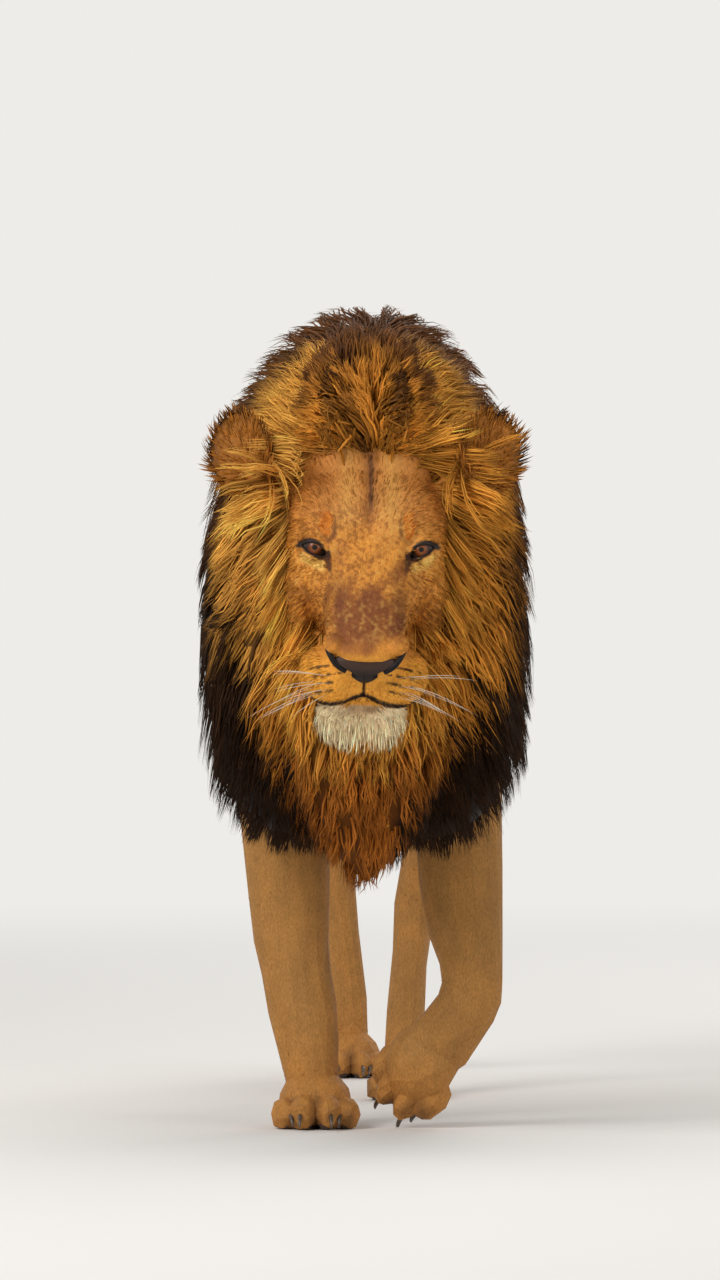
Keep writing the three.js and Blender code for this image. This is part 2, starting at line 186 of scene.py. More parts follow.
def meshFrom(name, points, quads, triangles=np.empty((0, 3), int)):  # points in the drawing frame, in mm
    mesh = bpy.data.meshes.new(name)
    mesh.vertices.add(len(points))
    mesh.vertices.foreach_set("co", (points * mm + shift).astype(np.float32).ravel())
    corners = np.concatenate([quads.ravel(), triangles.ravel()]).astype(np.int32)
    mesh.loops.add(len(corners))
    mesh.loops.foreach_set("vertex_index", corners)
    starts = np.concatenate([np.arange(len(quads)) * 4, len(quads) * 4 + np.arange(len(triangles)) * 3])
    mesh.polygons.add(len(starts))
    mesh.polygons.foreach_set("loop_start", starts.astype(np.int32))
    mesh.update(calc_edges=True)
    mesh.polygons.foreach_set("use_smooth", np.ones(len(starts), bool))
    mesh.validate()
    return mesh


def place(name, mesh, material, slot, *nodes):  # a finished piece, and the nodes it stands for
    piece = bpy.data.objects.new(name, mesh)
    bpy.context.scene.collection.objects.link(piece)
    mesh.materials.clear()
    mesh.materials.append(material)
    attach(piece, "root")
    if nodes:
        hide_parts(*nodes)
    return piece


def paint(mesh, name, colours):  # one linear colour at each point
    layer = mesh.color_attributes.new(name, "FLOAT_COLOR", "POINT")
    whole = np.concatenate([np.clip(colours, 0, 1), np.ones((len(colours), 1))], 1)
    layer.data.foreach_set("color", whole.astype(np.float32).ravel())


def taken(items, key, kind, width):  # one property of all the items of a mesh
    values = np.empty(len(items) * width, kind)
    items.foreach_get(key, values)
    return values.reshape(-1, width)


def pointsOf(mesh):
    return (taken(mesh.vertices, "co", np.float32, 3).astype(float) - shift) / mm


def normalsOf(mesh):
    return taken(mesh.vertex_normals, "vector", np.float32, 3).astype(float)


def modified(mesh, kind, **settings):  # a copy of the mesh with one modifier applied
    carrier = bpy.data.objects.new("carrier", mesh)
    bpy.context.scene.collection.objects.link(carrier)
    weights = settings.pop("weights", None)
    if weights is not None:
        group = carrier.vertex_groups.new(name="weights")
        for level in np.unique(np.round(weights, 1)):
            group.add(np.nonzero(np.round(weights, 1) == level)[0].tolist(), float(level), "REPLACE")
    modifier = carrier.modifiers.new("shape", kind)
    for key, value in settings.items():
        setattr(modifier, key, value)
    done = bpy.data.meshes.new_from_object(carrier.evaluated_get(bpy.context.evaluated_depsgraph_get()))
    bpy.data.objects.remove(carrier)
    return done


def addNode(tree, kind, values=None, **settings):  # a node, what it does, and what its sockets hold
    node = tree.nodes.new("ShaderNode" + kind)
    for key, value in settings.items():
        setattr(node, key, value)
    for socket, value in (values or {}).items():
        node.inputs[socket].default_value = value
    return node


def wire(tree, *links):  # each is a node and its output, and the node and the input that it feeds
    for source, output, target, socket in links:
        tree.links.new(source.outputs[output], target.inputs[socket])


def newMaterial(name, values, tinted=False):  # tinted: the colour is the one painted on the points
    material = bpy.data.materials.new(name)
    material.use_nodes = True
    tree = material.node_tree
    shader = tree.nodes["Principled BSDF"]
    for socket, value in values.items():
        shader.inputs[socket].default_value = value
    if tinted:
        tint = addNode(tree, "Attribute", attribute_name="tint")
        wire(tree, (tint, "Color", shader, "Base Color"))
    return material, tree, shader


def emboss(tree, shader, source, output, strength, distance):  # relief by one of a node's values
    relief = addNode(tree, "Bump", {"Strength": strength, "Distance": distance})
    wire(tree, (source, output, relief, "Height"), (relief, "Normal", shader, "Normal"))


view = {"distance": 20.0, "face": (-0.008, -0.950, 1.339), "lens": 411.75, "down": 1.8387}
camera = bpy.data.objects.new("camera", bpy.data.cameras.new("camera"))
camera.data.sensor_width = 36
camera.data.lens = view["lens"]
camera.data.clip_end = 60
camera.location = np.array(view["face"]) + shift - np.array([0, view["distance"], 0])
camera.rotation_euler = (math.radians(90 - view["down"]), 0, 0)
bpy.context.scene.collection.objects.link(camera)
bpy.context.scene.camera = camera

studio = {
    "lamps": [  # name, place, size, watts
        ("key", (-3.2, -4.2, 3.6), 2.6, 190),
        ("fill", (3.6, -3.4, 1.8), 3.0, 46),
        ("top", (0.0, 0.4, 4.6), 3.2, 62),
        ("back", (1.6, 4.2, 2.8), 2.4, 58),
    ],
    "lampsLookAt": (0, 0, 0.6),
    "world": (0.93, 0.94, 0.95),
    "worldLight": 0.34,
    "floor": linear(236, 233, 228),
    "floorHalf": 30,
    "floorEnd": (1.6, 6.0),  # from here to there the floor fades into the backdrop, in m
    "backdrop": linear(238, 236, 232),
}
for name, spot, size, watts in studio["lamps"]:
    lamp = bpy.data.lights.new(name, "AREA")
    lamp.size = size
    lamp.energy = watts
    holder = bpy.data.objects.new(name, lamp)
    holder.location = spot
    away = np.array(spot) - studio["lampsLookAt"]
    down = math.acos(away[2] / np.linalg.norm(away))
    holder.rotation_euler = (down, 0, math.atan2(away[1], away[0]) + math.pi / 2)
    bpy.context.scene.collection.objects.link(holder)

world = bpy.data.worlds.new("studio")
bpy.context.scene.world = world
world.use_nodes = True
sky = world.node_tree
sky.nodes.clear()
rays = addNode(sky, "LightPath")
seen = addNode(sky, "Math", operation="MAXIMUM")
lit = addNode(sky, "Background", {"Color": (*studio["world"], 1), "Strength": studio["worldLight"]})
shown = addNode(sky, "Background", {"Color": (*studio["backdrop"], 1), "Strength": 1})
blend = addNode(sky, "MixShader")
wire(sky, (rays, "Is Camera Ray", seen, 0), (rays, "Is Glossy Ray", seen, 1), (seen, 0, blend, "Fac"),
     (lit, 0, blend, 1), (shown, 0, blend, 2), (blend, 0, addNode(sky, "OutputWorld"), "Surface"))

half = studio["floorHalf"]
floorMesh = bpy.data.meshes.new("floor")
corners = [(-half, -half, 0), (half, -half, 0), (half, half, 0), (-half, half, 0)]
floorMesh.from_pydata(corners, [], [(0, 1, 2, 3)])
floor = bpy.data.objects.new("floor", floorMesh)
bpy.context.scene.collection.objects.link(floor)
paleFloor, tree, shader = newMaterial("pale floor", {"Base Color": (*studio["floor"], 1), "Roughness": 0.9})
spot = addNode(tree, "TexCoord")
reach = addNode(tree, "VectorMath", operation="LENGTH")
far = addNode(tree, "MapRange", {"From Min": studio["floorEnd"][0], "From Max": studio["floorEnd"][1]},
              interpolation_type="SMOOTHSTEP")
rays = addNode(tree, "LightPath")
both = addNode(tree, "Math", operation="MULTIPLY")
shown = addNode(tree, "Emission", {"Color": (*studio["backdrop"], 1)})
blend = addNode(tree, "MixShader")
wire(tree, (spot, "Object", reach, 0), (reach, "Value", far, "Value"), (far, 0, both, 0),
     (rays, "Is Camera Ray", both, 1), (both, 0, blend, "Fac"), (shader, 0, blend, 1), (shown, 0, blend, 2),
     (blend, 0, tree.nodes["Material Output"], "Surface"))
floorMesh.materials.append(paleFloor)
print("camera, lamps and floor are up")


coatDepth = {"trunk": 11, "neck": 12, "skull": 3.5, "jaw": 4, "leg": 6, "paw": 3.5, "tail": 5}

faceMiddle = np.array([2.5, -950.0, 817.0])
headTurn = turned(30, 2.5)


def fromHead(points):
    return points @ headTurn.T + faceMiddle


def toHead(points):
    return (points - faceMiddle) @ headTurn


skullRows = [  # x, y, z, side, ahead, behind, how square ahead and behind
    [0, -165, -86, 42, 32, 22, 2.6, 2.8],
    [0, -138, -76, 52, 50, 32, 2.8, 3],
    [0, -97, -62, 58, 70, 42, 3, 3],
    [0, -58, -49, 66, 92, 50, 3.2, 3],
    [0, -30, -42, 78, 100, 60, 3.2, 2.6],
    [0, -6, -37, 95, 110, 68, 3.4, 2.4],
    [0, 16, -34, 108, 118, 79, 3.4, 2.4],
    [0, 42, -31, 118, 124, 90, 3.2, 2.3],
    [0, 80, -26, 122, 124, 101, 3, 2.2],
    [0, 130, -20, 110, 116, 105, 2.4, 2.1],
    [0, 170, -15, 88, 92, 88, 2, 2],
    [0, 202, -12, 45, 55, 48, 2, 2],
]
jawRows = [
    [0, -148, -196, 42, 16, 28, 2.2, 2.6],
    [0, -128, -199, 62, 33, 46, 2.2, 3],
    [0, -82, -190, 70, 36, 54, 2.2, 3],
    [0, -32, -170, 84, 40, 60, 2.2, 3],
    [0, 40, -134, 98, 46, 62],
]
trunkRows = [
    [0, -650, 790, 105, 120, 125],
    [0, -565, 785, 160, 205, 200],
    [0, -460, 780, 182, 252, 255],
    [0, -340, 772, 190, 265, 268],
    [0, -180, 755, 198, 252, 248],
    [0, 0, 752, 204, 238, 236],
    [0, 180, 768, 194, 208, 230],
    [0, 330, 800, 176, 192, 216],
    [0, 470, 822, 156, 196, 188],
    [0, 580, 825, 116, 162, 146],
    [0, 635, 815, 68, 110, 105],
    [0, 658, 808, 34, 60, 60],
]
neckRows = [
    [0, -830, 862, 70, 85, 80],
    [0, -760, 850, 102, 128, 122],
    [0, -670, 832, 128, 165, 165],
    [0, -560, 812, 155, 205, 205],
]
standingFore = [
    [92, -400, 985, 30, 55, 55],
    [130, -425, 900, 48, 92, 100],
    [146, -452, 800, 56, 118, 128],
    [146, -458, 700, 60, 120, 128],
    [136, -445, 600, 64, 98, 104],
    [126, -438, 520, 66, 88, 92],
    [116, -440, 440, 67, 78, 80],
    [109, -445, 355, 65, 68, 68],
    [105, -450, 272, 60, 60, 56],
    [97, -455, 215, 55, 56, 52],
    [86, -462, 150, 54, 52, 52],
    [72, -478, 46, 40, 42, 40],
]
liftedFore = [
    [92, -405, 985, 30, 55, 55],
    [130, -440, 900, 48, 92, 100],
    [144, -470, 800, 56, 118, 128],
    [142, -480, 700, 60, 118, 128],
    [136, -470, 610, 64, 98, 102],
    [132, -470, 530, 66, 90, 92],
    [130, -485, 450, 67, 78, 78],
    [132, -508, 365, 66, 68, 68],
    [138, -532, 290, 60, 59, 56],
    [147, -544, 238, 51, 55, 52],
    [147, -543, 186, 49, 52, 50],
    [122, -534, 144, 50, 47, 46],
    [100, -524, 116, 54, 42, 42],
]
forwardHind = [
    [66, 445, 930, 24, 70, 60],
    [90, 425, 860, 42, 124, 116],
    [113, 384, 770, 58, 140, 146],
    [123, 325, 685, 62, 128, 150],
    [118, 278, 600, 55, 108, 128],
    [105, 268, 505, 45, 84, 102],
    [90, 292, 405, 37, 62, 70],
    [78, 318, 320, 34, 48, 56],
    [71, 322, 268, 36, 46, 54],
    [64, 278, 190, 32, 40, 42],
    [58, 218, 112, 34, 40, 42],
    [54, 160, 42, 34, 32, 32],
]
rearHind = [
    [66, 470, 930, 24, 70, 58],
    [90, 460, 860, 42, 124, 110],
    [111, 446, 770, 58, 150, 132],
    [117, 432, 685, 60, 134, 132],
    [109, 430, 605, 54, 108, 118],
    [92, 475, 515, 44, 82, 90],
    [73, 540, 425, 37, 62, 64],
    [57, 602, 350, 34, 48, 54],
    [46, 632, 300, 36, 46, 52],
    [35, 658, 212, 32, 40, 42],
    [27, 682, 130, 34, 40, 42],
    [24, 682, 42, 34, 32, 34],
]
tailRows = [
    [0, 590, 925, 40, 44, 40],
    [4, 660, 905, 34, 36, 34],
    [14, 715, 850, 30, 30, 30],
    [28, 748, 760, 25, 25, 25],
    [46, 765, 650, 22, 22, 22],
    [66, 780, 540, 19, 19, 19],
    [82, 802, 440, 17, 17, 17],
    [92, 838, 362, 15, 15, 15],
    [96, 862, 325, 13, 13, 13],
    [100, 900, 294, 12, 12, 12],
]


def mirrored(rows):
    return [[-row[0]] + list(row[1:]) for row in rows]


level = facing((0, -1, 0), (0, 0, 1))
hanging = facing((-0.6, 0.12, -0.79), (-0.35, -0.9, 0.14))
legs = [  # rows, paw width, paw place, paw turn
    {"rows": mirrored(standingFore), "width": 124, "at": (-70, -486, 0), "turn": level},
    {"rows": liftedFore, "width": 124, "at": (92, -484, 90), "turn": hanging},
    {"rows": forwardHind, "width": 106, "at": (53, 138, 0), "turn": level},
    {"rows": mirrored(rearHind), "width": 106, "at": (-22, 668, 0), "turn": level},
]
pawWidth = 124  # the paws' own shapes are given for this width
toes = [  # x, y, z, radii, turn about Z
    (17, -56, 23, (21, 37, 30), 3),
    (45, -38, 20, (21, 35, 27), -9),
]
soles = [  # the dark pads underneath, sunk into the sole
    (0, 8, 10, (34, 27, 12), 0),
    (15, -62, 9, (11, 15, 10), 3),
    (42, -46, 9, (11, 14, 10), -9),
]


def onPaw(leg, shapes, shrink):  # balls on one paw, each side of its middle
    w = leg["width"] / pawWidth
    made = []
    for x, y, z, radii, spin in shapes:
        for s in ((1,) if x == 0 else (1, -1)):
            radius = [r * w - shrink for r in radii]
            ball = ballMesh((x * w * s, y * w, z * w), radius, turned(0, 0, spin * s), 32, 20)
            made.append(moved(ball, leg["turn"], leg["at"]))
    return made


lidRadius = 20.8
eyeSpots = {-1: np.array([-72.5, 1.5, 4.0]), 1: np.array([73.0, 2.0, 6.5])}
skullSwells = [  # x, y, z, reach along x, y and z, height; each on both sides of the middle
    (74, -12, 2, 26, 30, 17, -15),  # eye socket
    (56, -10, 34, 26, 24, 11, 7),  # brow
    (88, -6, -40, 26, 34, 20, 6),  # cheekbone
    (0, -12, 42, 15, 40, 34, -5),  # dip between the eyes
    (0, -120, -40, 26, 40, 30, 3),  # bridge of the nose
    (104, 70, -6, 34, 40, 34, -8),  # hollow of the temple
    (66, -66, -96, 22, 20, 40, -6),  # behind the whisker pads
    (50, -60, -30, 16, 34, 22, -4),  # beside the bridge
]


# Each swelling pushes the points along outward by height * exp(-(how far off, in its reaches)^2).
def swollen(points, outward, swells):
    oneSide = np.where([True, False, False], np.abs(points), points)
    push = np.zeros(len(points))
    for x, y, z, rx, ry, rz, height in swells:
        push += height * np.exp(-((((oneSide - (x, y, z)) / (rx, ry, rz)) ** 2).sum(1)))
    return points + outward * push[:, None]


def skinForms():  # the flesh, drawn in from the coat's tips by the coat's depth
    forms = [
        tubeMesh(trunkRows, 64, 8, -coatDepth["trunk"]),
        tubeMesh(neckRows, 48, 6, -coatDepth["neck"]),
        tubeMesh(tailRows, 24, 6, -coatDepth["tail"]),
    ]
    skull = tubeMesh(skullRows, 96, 12, -coatDepth["skull"])
    jaw = tubeMesh(jawRows, 64, 8, -coatDepth["jaw"])
    lips = [ballMesh((43 * s, -110, -128), (44, 55, 39)) for s in (-1, 1)]
    groove = ballMesh((0, -124, -122), (30, 33, 36))
    cheeks = [ballMesh((84 * s, 32, -82), (33, 64, 56)) for s in (-1, 1)]
    lids = [ballMesh(eyeSpots[s], [lidRadius] * 3) for s in (-1, 1)]
    ledge = ballMesh((0, -149, -63), (44, 27, 13))
    wings = [ballMesh((44 * s, -145, -58), (15, 20, 13), turned(0, -25 * s, 0)) for s in (-1, 1)]
    face = [skull, jaw, groove, ledge, *lips, *cheeks, *lids, *wings]
    forms += [moved(form, headTurn, faceMiddle) for form in face]
    forms.append(ballMesh((0, -852, 930), (97, 57, 52)))  # the crown of the head, under the crest
    for leg in legs:
        forms.append(tubeMesh(leg["rows"], 40, 6, -coatDepth["leg"]))
        w = leg["width"] / pawWidth
        pad = ballMesh((0, 2 * w, 36 * w), [r * w - coatDepth["paw"] for r in (55, 62, 46)])
        forms.append(moved(pad, leg["turn"], leg["at"]))
        forms += onPaw(leg, toes, coatDepth["paw"])
    for s in (-1, 1):
        forms.append(moved(earLeaf(), *earPlace(s)))
        forms.append(ballMesh((122 * s, -858, 902), (27, 22, 58), turned(0, 50 * s, 0)))
    return forms


ear = {"at": (167.0, -868, 952), "radii": (47, 9, 59), "faces": (0.42, -0.9, 0.1), "up": (0.42, 0.1, 1)}


def earLeaf():  # a flat ball bent into a cup: forward by the square of the way out from its middle
    wide, thick, tall = ear["radii"]
    points, quads, caps = ballMesh((0, 0, 0), (wide, thick, tall), around=48, down=32)
    out = (points[:, 0] / wide) ** 2 + 0.35 * np.maximum(points[:, 2] / tall, 0) ** 2
    points[:, 1] += 9 - 25 * out
    return points, quads, caps


def earPlace(side):  # the turn and the middle of the ear on that side
    flip = np.array([side, 1, 1])
    return facing(flip * ear["faces"], flip * ear["up"]), flip * ear["at"]


def smoothed(points, edges, rounds, share=0.5):  # each round goes half the way to the neighbours' mean
    degree = np.bincount(edges.ravel(), minlength=len(points))[:, None]
    for _ in range(rounds):
        total = np.stack([
            np.bincount(edges[:, 0], points[edges[:, 1], axis], len(points))
            + np.bincount(edges[:, 1], points[edges[:, 0], axis], len(points))
            for axis in range(3)
        ], 1)
        points = points + share * (total / degree - points)
    return points


def flattenSoles(points):  # what is below a sole's plane is pressed up to it
    for leg in legs:
        own = (points - leg["at"]) @ leg["turn"]
        w = leg["width"] / pawWidth
        near = (np.abs(own[:, 0]) < 75 * w) & (np.abs(own[:, 1] + 20 * w) < 95 * w) & (own[:, 2] < 30 * w)
        low = 1.0 + 0.12 * own[:, 2]
        own[:, 2] = np.where(near & (own[:, 2] < 1), np.maximum(low, 0.4), own[:, 2])
        points = np.where(near[:, None], own @ leg["turn"].T + leg["at"], points)
    return points


bodySwells = [  # x, y, z, reach along x, y and z, height, in the drawing frame; each on both sides
    (128, 330, 820, 60, 70, 90, 7),  # the haunch
    (150, 215, 700, 60, 42, 120, -13),  # hollow of the flank
    (60, 420, 985, 34, 60, 30, 7),  # hip bone
    (0, 120, 1010, 16, 420, 26, -4),  # groove along the spine
    (190, -20, 700, 60, 120, 120, 4),  # ribs
    (95, 315, 480, 60, 18, 90, -4),  # hollow before the hamstring
]


# The skin is joined in a space that is stretched round the face and squeezed elsewhere, so that equal cells
# there come out small on the face and large on the body: the way out r becomes the integral of the stretch.
finest = {"middle": np.array([0.0, -1010.0, 770.0]), "near": 1.5, "far": 0.72, "from": 120.0, "to": 330.0}
stretchAt = np.linspace(0, 3000, 3001)
stretchMore = (finest["near"] - finest["far"]) * (1 - ramp(stretchAt, finest["from"], finest["to"]))
stretchOf = finest["far"] + stretchMore
stretchSum = np.append(0, np.cumsum(0.5 * (stretchOf[1:] + stretchOf[:-1])))


def stretched(points, back=False):  # r becomes the sum of the stretch up to r, and back
    away = points - finest["middle"]
    r = np.linalg.norm(away, axis=1)
    made = np.interp(r, stretchSum, stretchAt) if back else np.interp(r, stretchAt, stretchSum)
    return finest["middle"] + away * (made / np.maximum(r, 1e-6))[:, None]


# Way out from the middle, and level
mouthLine = np.array([[0, -192], [9, -196], [20, -201], [38, -206], [58, -206], [74, -200], [84, -192.0]])
# Away from the nose and up, from the eye's middle
lidUpper = np.array([[-16, -9], [-13, -3.4], [-7, 2.2], [0, 5.2], [6, 6.4], [12, 6.2], [18, 3.4]])
lidLower = np.array([[-16, -9], [-13, -11], [-7, -11], [0, -9.4], [6, -7], [12, -3.6], [18, 3.4]])


def eyeMiddle(side):
    return fromHead(eyeSpots[side][None])[0]


def lidSpace(points, side):  # away from the nose, up, and forward of the eye's middle
    away = points - eyeMiddle(side)
    return away[:, 0] * side, away[:, 2], -away[:, 1]


def insideLids(u, v):  # how far inside the opening of the lids, in mm
    upper, lower = np.interp(u, *lidUpper.T), np.interp(u, *lidLower.T)
    return np.minimum(np.minimum(upper - v, v - lower), np.minimum(u + 16, 17.5 - u))


def faceHeight(own):  # the level of a point of the face over its middle
    return 0.5 * own[:, 1] + 0.866 * own[:, 2]


def onFace(points):
    return ramp(-toHead(points)[:, 1], -190, -150) * ramp(points[:, 2], 540, 570)


def folded(points):  # the openings of the lids, and the mouth, the groove over it and the forehead's furrow
    own = toHead(points)
    ax, height = np.abs(own[:, 0]), faceHeight(own)
    front = ramp(-own[:, 1], 70, 95)
    mouth = np.exp(-((height - np.interp(ax, *mouthLine.T)) / 3.0) ** 2)
    press = 6.0 * mouth * front * ramp(-ax, -88, -78)
    press += 4.0 * np.exp(-(ax / 3.0) ** 2) * front * ramp(-height, 160, 170) * ramp(height, -200, -192)
    press += 3.0 * np.exp(-(own[:, 0] / 5.0) ** 2) * ramp(height, 20, 50) * ramp(-height, -125, -100)
    points = points + np.array([0, 1.0, 0]) * press[:, None]
    for side in (-1, 1):
        u, v, w = lidSpace(points, side)
        inside = insideLids(u, v)
        away = np.sqrt(u * u + v * v + w * w)
        # The skin outside the opening stays clear of the eyeball
        short = np.maximum(20.5 - away, 0) * ramp(w, -17, -11) * ramp(-inside, 0.8, 1.6)
        points = points + (points - eyeMiddle(side)) * (short / away)[:, None]
        sink = 11 * ramp(inside, -0.8, 1.0) * ramp(w, 0, 4)
        trough = 2.5 * np.exp(-((u + 19 - 0.12 * (v + 10)) / 4.0) ** 2) * ramp(-v, 6, 14) * ramp(v, -48, -30)
        points = points + np.array([0, 1.0, 0]) * (sink + trough * ramp(w, -12, -4))[:, None]
    return points


skinLook = {
    "cell": 3.3,  # the grid that joins the forms, in mm of the stretched space
    "triangles": 180000,
    "fine": (150, 320),  # most detail is kept within the first of the face's middle, least past the second
    "smoothing": (4, 16),  # rounds on the face and the paws, and on the body
    "finish": {"Roughness": 0.72, "Specular IOR Level": 0.25},
    "hairs": (520, 120, 240),  # fine streaks to the metre along x, y and z
    "relief": (0.5, 0.0015),
}


def buildSkin():  # one closed surface round all the forms, then sculpted
    points, quads, triangles = together(skinForms())
    rough = meshFrom("rough", stretched(points), quads, triangles)
    skin = modified(rough, "REMESH", mode="VOXEL", voxel_size=skinLook["cell"] * mm, adaptivity=0)
    moveTo(skin, stretched(pointsOf(skin), back=True))
    edges = taken(skin.edges, "vertices", np.int32, 2)
    points = smoothed(pointsOf(skin), edges, skinLook["smoothing"][0])
    face = onFace(points) * (0.25 + 0.75 * ramp(-toHead(points)[:, 1], -20, 40))
    body = smoothed(points, edges, skinLook["smoothing"][1])
    points = mixed(body, points, np.maximum(face, ramp(-points[:, 2], -150, -120)))
    moveTo(skin, points)
    count = len(skin.polygons)
    weights = 0.1 + 0.9 * ramp(np.linalg.norm(points - finest["middle"], axis=1), *skinLook["fine"])
    ratio = skinLook["triangles"] / (2 * count)
    skin = modified(skin, "DECIMATE", weights=np.clip(weights, 0, 1), vertex_group="weights", ratio=ratio)
    print("skin joined:", count, "faces, kept", len(skin.polygons))
    points, normals = pointsOf(skin), normalsOf(skin)
    face = onFace(points)
    sculpted = fromHead(swollen(toHead(points), normals @ headTurn, skullSwells))
    for side in (-1, 1):  # the lids stay round the eyeball
        face = face * ramp(np.linalg.norm(points - eyeMiddle(side), axis=1), 21.2, 28)
    points = mixed(points, sculpted, face)
    points = folded(points)
    points = swollen(points, normals, bodySwells)
    moveTo(skin, flattenSoles(points))
    return skin


coatColours = {
    "tawny": linear(184, 124, 58),
    "back": linear(164, 105, 47),
    "belly": linear(210, 164, 98),
    # the legs' lit colour, and a darker copy of it as painted shade
    "legLit": linear(180, 119, 50),
    "legShade": linear(138, 91, 40),
    "face": linear(204, 132, 50),
    "brow": linear(198, 130, 62),
    "bridge": linear(118, 62, 30),
    "pad": linear(230, 158, 58),
    "cream": linear(242, 192, 98),
    "browMark": linear(200, 112, 30),
    "chin": linear(248, 222, 176),
    "chinBrown": linear(140, 92, 50),
    "dark": linear(44, 28, 20),
    "earBack": linear(166, 104, 38),
    "earEdge": linear(74, 46, 22),
}


def lidShade(u, v):  # dark round the opening, out to the outer corner and down the tear line; the rim widens above as painted shade under the brow
    upper, inner = ramp(v, -2, 6), ramp(-u, -6, 8) * ramp(-v, 0, 6)
    # wider above: painted shade of the upper lid and brow
    rim = 1 - ramp(-insideLids(u, v), 2.0 + 2.9 * upper + 2.8 * inner, 3.8 + 3.6 * upper + 3.6 * inner)
    corner = (1 - ramp(np.abs(v - 3.2 + 0.1 * (u - 16)), 2.0, 4.2)) * ramp(u, 8, 14) * (1 - ramp(u, 24, 32))
    wide = np.interp(v, [-40, -26, -12, -4], [0.4, 1.6, 3.6, 4.0])
    tear = (1 - ramp(np.abs(u + 17 - 0.16 * (v + 10)), wide, wide + 3.4)) * ramp(v, -40, -28) * ramp(-v, 1, 7)
    return np.clip(np.maximum(np.maximum(rim, corner), 0.9 * tear), 0, 1)


def layered(colour, *layers):  # each layer is a colour and its share at every point
    for tone, share in layers:
        colour = mixed(colour, tone, share)
    return colour


def bodyMarkings(points, wander, fine):  # pale below, darker above, and dark at the roots of the mane
    c, (y, z) = coatColours, points[:, 1:].T
    leg = ramp(-z, -600, -420)
    shade = 0.5 + 0.35 * ramp(fine + wander, -0.6, 0.9)
    return layered(
        c["belly"][None],
        (c["tawny"], ramp(z + 20 * wander, 500, 640)),
        (c["back"], ramp(z + 30 * wander, 560, 960) * 0.7),
        # the legs mottled between their lit colour and its painted shade copy
        (mixed(c["legLit"][None], c["legShade"], shade), leg * 0.8),
        (c["tawny"], ramp(-z, -110, -60) * leg * 0.6),
        (c["dark"] * 1.3, ramp(-y + 30 * wander + 12 * fine, 300, 350) * ramp(z + 30 * fine, 500, 570)),
    )


def eyeLayers(points, side, fine):  # pale below the eye, dark lids and tear line with painted shade over the upper lid, a mark by the brow
    c, (u, v, w) = coatColours, lidSpace(points, side)
    near = ramp(w, -10, -2)
    low = v - np.interp(u, [-24, -17, -9, 0, 10, 20, 30], [-20, -19, -18, -14.5, -9.5, -5, -1])
    under = ramp(low, -17, -10) * ramp(-low, -1, 2) * ramp(u, -16, -10) * ramp(-u, -30, -22)
    mark = ((u + 17) / 8.5) ** 2 + ((v - 32) / 17) ** 2 + 0.2 * fine
    stripe = (1 - ramp(np.abs(u + 26 + 0.06 * v), 1.6, 4.6)) * ramp(v, 8, 16) * ramp(-v, -44, -30)
    return [
        (c["cream"], under * near),
        (c["dark"], lidShade(u, v) * near),
        (c["bridge"] * 0.8, np.exp(-((mark - 1.7) / 0.6) ** 2) * near * 0.5),
        (c["browMark"], ramp(-mark, -1.4, -0.7) * near * 0.95),
        (c["dark"] * 1.6, stripe * near * 0.45),
    ]


